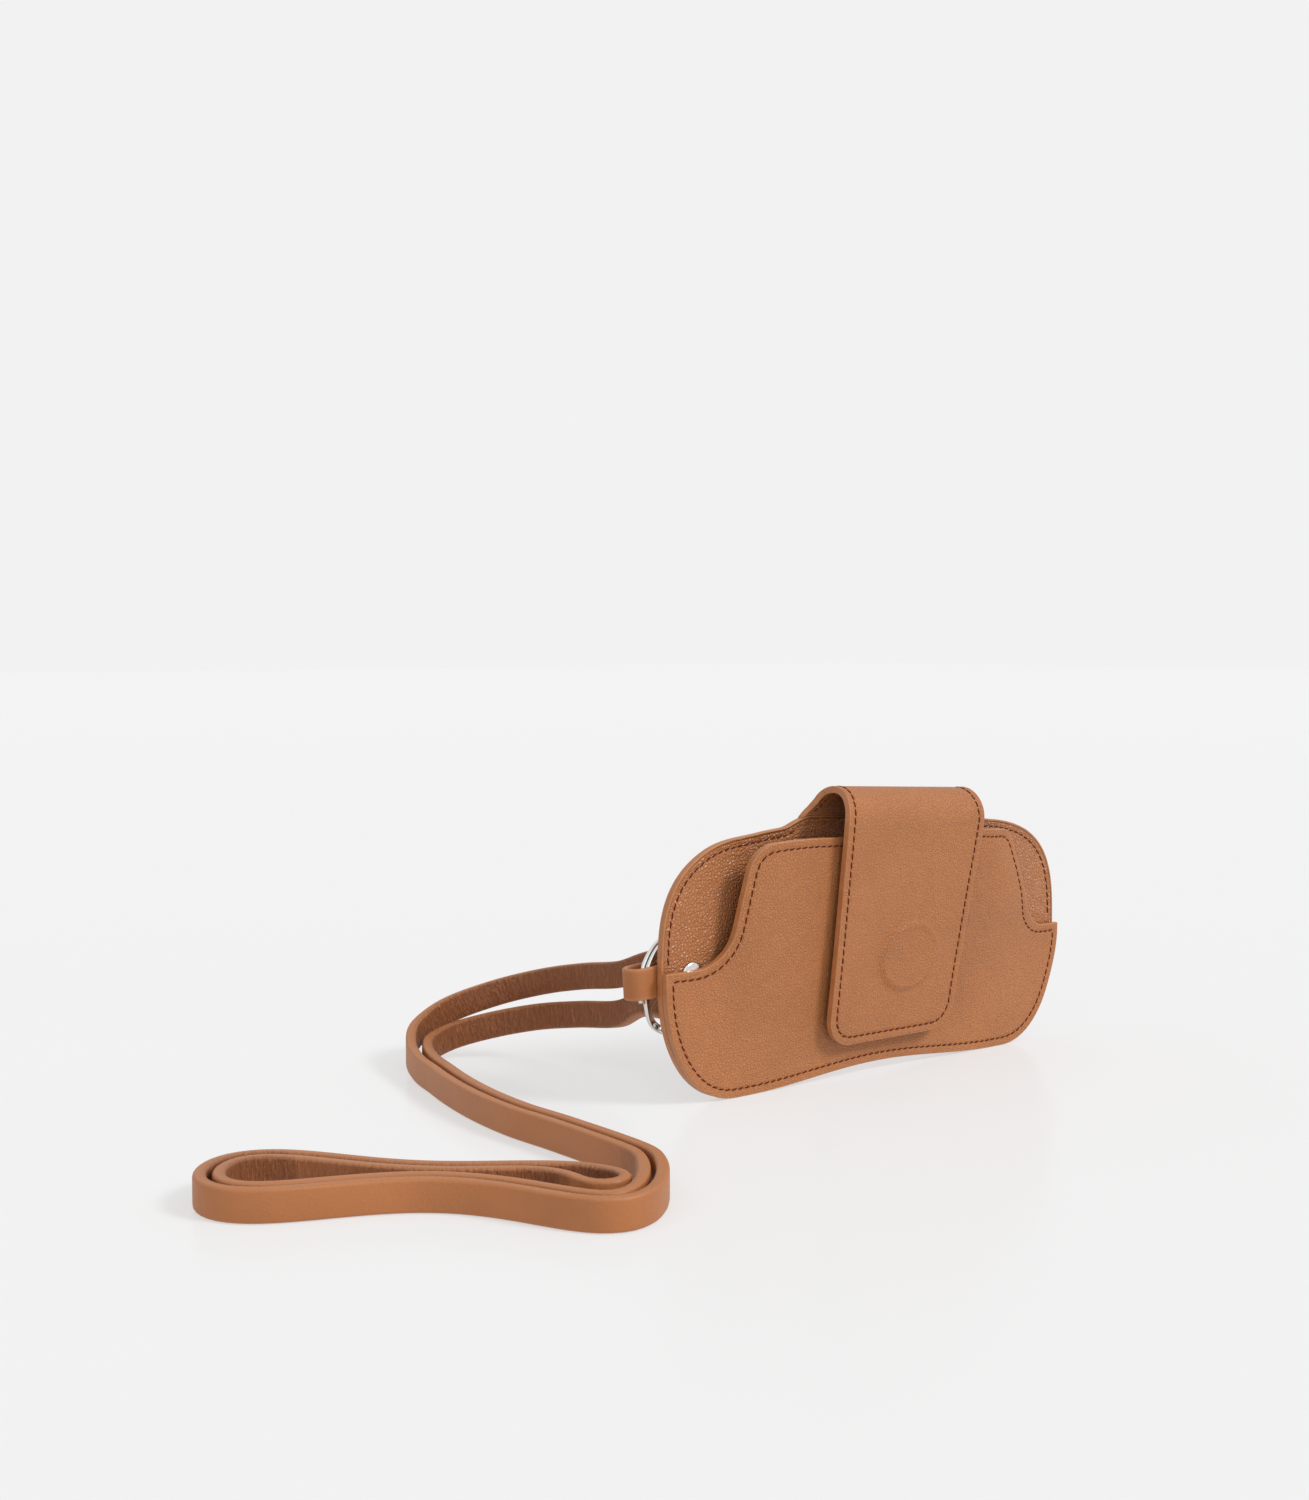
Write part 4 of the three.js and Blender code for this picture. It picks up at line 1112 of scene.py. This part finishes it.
class CASE_OT_stitching(Operator):
    """Sews the panels and the flap."""

    bl_idname = "leather_case.stitching"
    bl_label = "Stitching"

    def execute(self, context):
        inset = context.scene.case_stitches.inset / MM
        finish = thread_finish("brown_thread")
        bottom = beside_line(mirrored(BOTTOM), inset)
        seams = [(bottom, front_surface, 0), (bottom, back_surface, 0)]
        stitched_piece("seam_stitches", seams, finish, ["seam_thread"], "case")
        half = mouth_half()
        half[-1] = (HALF_LENGTH - inset, NOTCH_HEIGHT)
        seams = both_sides(beside_line(mirrored(half), -inset), front_surface)
        stitched_piece("mouth_stitches", seams, finish, ["mouth_thread"], "case")
        top = beside_line(back_top_half(), -inset)
        free = [p for p in top if p.x > BASE_HALF + NECK_FLARE and p.y > NOTCH_HEIGHT + 1]
        for side, sign in (("right", 1), ("left", -1)):
            seams = both_sides([Vector((sign * p.x, p.y)) for p in free], back_surface)
            nodes = [f"back_edge_thread_{side}"]
            stitched_piece(f"back_edge_stitches_{side}", seams, finish, nodes, "case")
        seams = []
        for sign in (1, -1):
            lengths = [SPLIT_LENGTH * i / 20 for i in range(3, 21)]
            line = [(sign * (tongue_half(s) - inset), s) for s in lengths]
            seams += both_sides(line, tongue_surface)
        nodes = ["fold_thread_right", "fold_thread_left"]
        bend_at_rear(stitched_piece("fold_stitches", seams, finish, nodes))
        seams = both_sides(beside_line(flap_edge(), inset), tongue_surface)
        bend_at_front(stitched_piece("flap_stitches", seams, finish, nodes + ["flap_thread"]))
        return {"FINISHED"}


def both_sides(line, surface):
    """Seams along a line on the show side and the inner side of a panel."""
    return [(line, surface, depth) for depth in (0, PLY)]


def stitched_piece(name, seams, finish, nodes, body=None):
    """One piece of single stitches, with a layer for the nearness to a stitch's ends."""
    bm = bmesh.new()
    bm.verts.layers.float.new("tip")
    for seam in seams:
        sew(bm, *seam)
    return make_piece(name, bm, [finish], nodes, body)


def sew(bm, line, surface, depth):
    """Lays stitches along a line on a surface, on its show side or its inner side."""
    sizes = bpy.context.scene.case_stitches
    pitch, gap, radius = sizes.pitch / MM, sizes.gap / MM, sizes.thread / MM / 2
    layer = bm.verts.layers.float["tip"]
    outward = -1 if depth < PLY / 2 else 1
    sunk = depth - outward * (sizes.groove / MM - radius * THREAD_SINK)
    points = evenly(line, pitch)
    for a, b in zip(points, points[1:]):
        start, end = (surface(p.x, sunk, p.y) for p in (a, b))
        middle = (a + b) / 2
        at = surface(middle.x, sunk, middle.y)
        normal = (surface(middle.x, sunk + outward, middle.y) - at).normalized()
        ahead = (end - start).normalized()
        ahead = Matrix.Rotation(sizes.slant, 3, normal) @ ahead
        aside = normal.cross(ahead).normalized()
        half = ((end - start).length - gap) / 2
        columns = Matrix((aside * radius, normal * radius, ahead * half)).transposed()
        made = bmesh.ops.create_uvsphere(
            bm, u_segments=6, v_segments=6, radius=1, matrix=Matrix.Translation(at) @ columns.to_4x4(),
        )
        for v in made["verts"]:
            v[layer] = abs((v.co - at).dot(ahead)) / half


class CASE_OT_magnets(Operator):
    """Gives the two hidden magnets their steel."""

    bl_idname = "leather_case.magnets"
    bl_label = "Magnets"

    def execute(self, context):
        steel = steel_finish("magnet_steel")
        for name in ("front_magnet", "flap_magnet"):
            materials = frame["nodes"][name].data.materials
            materials.clear()
            materials.append(steel)
        return {"FINISHED"}


# Materials


class Wire:
    """A node's output that takes part in sums."""

    def __init__(self, board, socket):
        self.board = board
        self.socket = socket

    def sum(self, operation, a, b):
        return self.board.node("ShaderNodeMath", {"operation": operation}, {0: a, 1: b})

    def __add__(self, other):
        return self.sum("ADD", self, other)

    def __sub__(self, other):
        return self.sum("SUBTRACT", self, other)

    def __rsub__(self, other):
        return self.sum("SUBTRACT", other, self)

    def __mul__(self, other):
        return self.sum("MULTIPLY", self, other)

    def __truediv__(self, other):
        return self.sum("DIVIDE", self, other)

    __radd__ = __add__
    __rmul__ = __mul__


class Board:
    """The nodes of a material or of the world, up to their output."""

    def __init__(self, owner, output):
        owner.use_nodes = True
        self.nodes = owner.node_tree.nodes
        self.links = owner.node_tree.links
        self.nodes.clear()
        self.output = self.nodes.new(output)

    def node(self, kind, settings=None, inputs=None, output=0):
        """Adds a node with its settings, ramp stops among them, and its sockets' values or links."""
        made = self.nodes.new(kind)
        for key, value in (settings or {}).items():
            if key == "stops":
                self.set_stops(made.color_ramp, value)
            else:
                setattr(made, key, value)
        for key, value in (inputs or {}).items():
            self.plug(made.inputs[key], value)
        return Wire(self, made.outputs[output])

    def set_stops(self, ramp, stops):
        """Gives a ramp its two stops of (position, level)."""
        for element, (position, level) in zip(ramp.elements, stops):
            element.position = position
            element.color = (level, level, level, 1)

    def plug(self, socket, value):
        """Links a wire to a socket, or sets its value."""
        if isinstance(value, Wire):
            self.links.new(value.socket, socket)
        elif hasattr(value, "__len__") and socket.type == "RGBA":
            socket.default_value = (*value[:3], 1)
        else:
            socket.default_value = value

    def show(self, shader):
        """Links a shader to the output."""
        self.links.new(shader.socket, self.output.inputs[0])


class FinishBoard(Board):
    """The nodes of one material, with its Principled shader."""

    def __init__(self, name):
        self.material = bpy.data.materials.new(name)
        super().__init__(self.material, "ShaderNodeOutputMaterial")
        self.shader = self.nodes.new("ShaderNodeBsdfPrincipled")
        self.show(Wire(self, self.shader.outputs[0]))

    def set(self, **values):
        """Sets the shader's own sockets, with _ for each space of their names."""
        for key, value in values.items():
            self.plug(self.shader.inputs[key.replace("_", " ")], value)

    def finish_with(self, other, share):
        """Mixes another shader over the Principled one."""
        own = Wire(self, self.shader.outputs[0])
        self.show(self.node("ShaderNodeMixShader", None, {0: share, 1: own, 2: other}))

    def place(self):
        """Object coordinates."""
        return self.node("ShaderNodeTexCoord", output="Object")

    def attribute(self, name):
        """A float of the piece's own mesh."""
        return self.node("ShaderNodeAttribute", {"attribute_name": name}, output="Fac")

    def noise(self, vector, scale, detail=3.0, roughness=0.5):
        values = {"Vector": vector, "Scale": scale, "Detail": detail, "Roughness": roughness}
        return self.node("ShaderNodeTexNoise", None, values)

    def cells(self, vector, scale):
        values = {"Vector": vector, "Scale": scale}
        return self.node("ShaderNodeTexVoronoi", {"feature": "DISTANCE_TO_EDGE"}, values, "Distance")

    def ramp(self, value, start, end, top=1.0):
        """From nothing at a start to the top at an end."""
        return self.node("ShaderNodeValToRGB", {"stops": ((start, 0.0), (end, top))}, {0: value})

    def mix(self, share, a, b):
        settings = {"data_type": "RGBA"}
        return self.node("ShaderNodeMix", settings, {"Factor": share, 6: a, 7: b}, 2)

    def tones(self, share, colour, dark, light):
        """From a darker to a lighter tone of a colour."""
        return self.mix(share, tone(colour, dark), tone(colour, light))

    def bump(self, height, distance):
        values = {"Height": height, "Distance": distance, "Strength": 1.0}
        return self.node("ShaderNodeBump", None, values, "Normal")


def tone(colour, factor):
    """A colour made lighter or darker."""
    return tuple(min(1.0, c * factor) for c in colour)


def start_finish(name):
    """An empty material, with the colours and the object coordinates."""
    board = FinishBoard(name)
    return board, bpy.context.scene.case_finishes, board.place()


def leather_finish(name):
    """Smooth tan leather with a fine grain, soft cloudy tones and faint creases."""
    board, colours, place = start_finish(name)
    cloud = board.noise(place, 38, 4, 0.55)
    grain = board.cells(place, 1100)
    pebble = board.ramp(grain, 0.0, 0.22)
    pores = board.noise(place, 2600, 2)
    stretch = board.node("ShaderNodeVectorMath", {"operation": "MULTIPLY"}, {0: place, 1: (420, 420, 190)})
    creases = board.noise(stretch, 1.0, 5, 0.62)
    shade = board.tones(board.ramp(cloud, 0.3, 0.7), colours.leather, 0.9, 1.08)
    board.set(
        Base_Color=board.mix((1 - pebble) * 0.22, shade, tone(colours.leather, 0.62)),
        Roughness=0.5 + 0.12 * pores - 0.05 * pebble,
        Normal=board.bump(pebble * 0.7 + creases * 2.4 + pores * 0.3, 0.00022),
    )
    return board.material


def edge_finish(name):
    """Painted leather edge, smooth and a little lighter than the grain side."""
    board, colours, place = start_finish(name)
    wear = board.noise(place, 420, 4, 0.6)
    board.set(
        Base_Color=board.tones(board.ramp(wear, 0.35, 0.7), colours.edge, 0.9, 1.1),
        Roughness=0.42 + 0.12 * wear,
        Normal=board.bump(wear, 0.00008),
    )
    return board.material


def lining_finish(name):
    """Lining leather with a glossy pebbled grain."""
    if name in bpy.data.materials:
        return bpy.data.materials[name]
    board, colours, place = start_finish(name)
    cloud = board.noise(place, 45, 3)
    grain = board.cells(place, 950)
    pebble = board.ramp(grain, 0.0, 0.3)
    lumps = board.noise(place, 420, 3)
    shade = board.tones(cloud, colours.lining, 0.85, 1.12)
    board.set(
        Base_Color=board.mix((1 - pebble) * 0.35, shade, tone(colours.lining, 0.5)),
        Roughness=0.44 - 0.1 * pebble,
        Normal=board.bump(pebble + lumps * 1.2, 0.00024),
    )
    return board.material


def strap_finish(name):
    """Strap leather, smooth outside, with fine cross wrinkles where it bends inwards, darker there partly as
    its own flesh side and partly as painted shade of the bends and wrinkles.
    """
    board, colours, place = start_finish(name)
    along, across, crease_and_shade = (board.attribute(key) for key in ("along", "across", "crease_and_shade"))
    through = board.attribute("through")
    drawn = []
    for lengthwise, sideways in ((1900, 420), (900, 90)):
        values = {"X": along * lengthwise, "Y": across * sideways, "Z": through * sideways}
        drawn.append(board.node("ShaderNodeCombineXYZ", None, values))
    wrinkle = board.noise(drawn[0], 1.0, 3, 0.6)
    fold = board.ramp(wrinkle, 0.38, 0.62)
    cloud = board.noise(place, 45, 4, 0.55)
    pores = board.noise(place, 1500, 3)
    face = board.tones(board.ramp(cloud, 0.3, 0.7), colours.strap, 0.92, 1.08)
    # Partly painted shade: inner bends darken to the crease colour, deeper in the wrinkles' valleys and
    # gathers, over the flesh side's own darker tone.
    inner = board.ramp(crease_and_shade, 0.1, 0.7)
    gather = board.ramp(board.noise(drawn[1], 1.0, 2), 0.42, 0.58)
    creased_and_shaded = board.mix(inner * (0.62 + 0.38 * (1 - fold)), face, colours.strap_crease_and_shade)
    creased_and_shaded = board.mix(inner * (1 - gather) * 0.22, creased_and_shaded, tone(colours.strap_crease_and_shade, 0.45))
    rim = board.node("ShaderNodeMath", {"operation": "ABSOLUTE"}, {0: across})
    edge = board.ramp(rim / (4 * MM), 0.82, 0.97, 0.75)
    board.set(
        Base_Color=board.mix(edge, creased_and_shaded, colours.edge),
        Roughness=0.46 + 0.12 * pores,
        Normal=board.bump(pores * 0.8 + fold * crease_and_shade * 2 + gather * crease_and_shade + cloud * 0.8, 0.0002),
    )
    return board.material


def thread_finish(name):
    """Waxed sewing thread, with painted shade darkening each stitch's ends where it dips into its holes."""
    board, colours, place = start_finish(name)
    tip = board.attribute("tip")
    fibre = board.noise(place, 3000, 2)
    # Painted shade: each stitch darkens towards its ends, in place of the shadow of its holes.
    dark = board.ramp(tip, 0.45, 1.0)
    board.set(
        Base_Color=board.tones(dark, colours.thread, 1.0, 0.3),
        Roughness=0.6 + 0.2 * fibre,
        Specular_IOR_Level=0.15,
        Normal=board.bump(fibre, 0.00006),
    )
    return board.material


def nickel_finish(name):
    """Polished nickel plate with faint handling marks, and a painted dark reflection on the faces turned
    towards one side.
    """
    board, colours, place = start_finish(name)
    marks = board.noise(place, 900, 4, 0.65)
    # Painted reflection: faces turned towards one fixed side are darkened, in place of dark surroundings
    # mirrored in the plate.
    normal = board.node("ShaderNodeNewGeometry", output="Normal")
    reflection_side = {0: normal, 1: (0.8, 0.25, -0.1)}
    reflection_facing = board.node("ShaderNodeVectorMath", {"operation": "DOT_PRODUCT"}, reflection_side, "Value")
    board.set(
        Base_Color=board.tones(board.ramp(reflection_facing, 0.0, 0.62), colours.nickel, 1.0, 0.28),
        Metallic=1.0,
        Roughness=0.06 + 0.12 * board.ramp(marks, 0.45, 0.8),
        Normal=board.bump(marks, 0.00002),
    )
    return board.material


def steel_finish(name):
    """Plain ground steel."""
    board, colours, place = start_finish(name)
    grind = board.noise(place, 1400, 3)
    board.set(
        Base_Color=board.tones(grind, colours.steel, 0.8, 1.2),
        Metallic=1.0,
        Roughness=0.35 + 0.2 * grind,
    )
    return board.material


# Stage: the camera's film in millimetres, each sun's turn and spread in degrees, the floor in metres
SENSOR_WIDTH = 36
CLIP_START = 0.01
KEY_SUN = ((50, 0, 28), 18)
FILL_SUN = ((55, 0, -60), 90)
FLOOR_HALF = 6
FLOOR_DROP = 0.0001
FLOOR_TONE = (0.893, 0.893, 0.893)
FLOOR_ROUGHNESS = 0.2
FLOOR_IOR = 1.16
FLOOR_GLOW = 0.6


class CASE_OT_stage(Operator):
    """Sets the camera, the floor and the studio light."""

    bl_idname = "leather_case.stage"
    bl_label = "Stage"

    def execute(self, context):
        settings = context.scene.case_stage
        context.scene.view_settings.view_transform = "Standard"
        self.add_camera(context, settings)
        self.add_floor(settings)
        self.add_world(context, settings)
        add_sun("key_light", settings.key, *KEY_SUN)
        add_sun("fill_light", settings.fill, *FILL_SUN)
        return {"FINISHED"}

    def add_camera(self, context, settings):
        camera = bpy.data.cameras.new("camera")
        camera.lens = settings.lens
        camera.sensor_width = SENSOR_WIDTH
        camera.clip_start = CLIP_START
        obj = bpy.data.objects.new("camera", camera)
        obj.location = settings.camera_place
        obj.rotation_euler = (math.pi / 2 - settings.camera_pitch, 0, -settings.camera_yaw)
        context.scene.collection.objects.link(obj)
        context.scene.camera = obj

    def add_floor(self, settings):
        bm = bmesh.new()
        bmesh.ops.create_grid(bm, x_segments=8, y_segments=8, size=FLOOR_HALF)
        mesh = bpy.data.meshes.new("floor")
        bm.to_mesh(mesh)
        bm.free()
        mesh.materials.append(floor_finish("studio_floor", settings))
        floor = bpy.data.objects.new("floor", mesh)
        floor.location.z = -FLOOR_DROP
        bpy.context.scene.collection.objects.link(floor)

    def add_world(self, context, settings):
        world = bpy.data.worlds.new("studio")
        context.scene.world = world
        board = Board(world, "ShaderNodeOutputWorld")
        camera_ray = board.node("ShaderNodeLightPath", output="Is Camera Ray")
        glossy_ray = board.node("ShaderNodeLightPath", output="Is Glossy Ray")
        seen = board.node("ShaderNodeMath", {"operation": "MAXIMUM"}, {0: camera_ray, 1: glossy_ray})
        light = board.node("ShaderNodeBackground", None, {"Color": (1, 1, 1), "Strength": settings.sky})
        backdrop = board.node("ShaderNodeBackground", None, {"Color": settings.backdrop, "Strength": 1.0})
        board.show(board.node("ShaderNodeMixShader", None, {0: seen, 1: light, 2: backdrop}))


def floor_finish(name, settings):
    """Pale floor with a faint gloss."""
    board = FinishBoard(name)
    board.set(Base_Color=FLOOR_TONE, Roughness=FLOOR_ROUGHNESS, IOR=FLOOR_IOR)
    glow = board.node("ShaderNodeEmission", None, {"Color": settings.backdrop, "Strength": 1.0})
    board.finish_with(glow, FLOOR_GLOW)
    return board.material


def add_sun(name, strength, turn, spread):
    """A soft distant lamp. Its turn is in degrees."""
    lamp = bpy.data.lights.new(name, "SUN")
    lamp.energy = strength
    lamp.angle = math.radians(spread)
    obj = bpy.data.objects.new(name, lamp)
    obj.rotation_euler = [math.radians(t) for t in turn]
    bpy.context.scene.collection.objects.link(obj)


GROUPS = {
    "case_leather": LeatherSizes,
    "case_stitches": StitchSizes,
    "case_strap": StrapSizes,
    "case_finishes": Finishes,
    "case_stage": StageSettings,
}
OPERATORS = (
    CASE_OT_stage, CASE_OT_split_ring, CASE_OT_ring_tab, CASE_OT_neck_strap, CASE_OT_back_panel,
    CASE_OT_front_panel, CASE_OT_fold, CASE_OT_flap, CASE_OT_stitching, CASE_OT_magnets,
)


class CASE_PT_build(Panel):
    """Lists the pieces of the glasses case."""

    bl_label = "Glasses case"
    bl_idname = "CASE_PT_build"
    bl_space_type = "VIEW_3D"
    bl_region_type = "UI"
    bl_category = "Case"

    def draw(self, context):
        for operator in OPERATORS:
            self.layout.operator(operator.bl_idname)


def register():
    for group in GROUPS.values():
        bpy.utils.register_class(group)
    for name, group in GROUPS.items():
        setattr(bpy.types.Scene, name, PointerProperty(type=group))
    for operator in OPERATORS:
        bpy.utils.register_class(operator)
    bpy.utils.register_class(CASE_PT_build)


def unregister():
    bpy.utils.unregister_class(CASE_PT_build)
    for operator in reversed(OPERATORS):
        bpy.utils.unregister_class(operator)
    for name, group in GROUPS.items():
        delattr(bpy.types.Scene, name)
        bpy.utils.unregister_class(group)


def main():
    register()
    for operator in OPERATORS:
        name = operator.bl_idname.split(".")[1]
        getattr(bpy.ops.leather_case, name)()


if __name__ == "__main__":
    main()
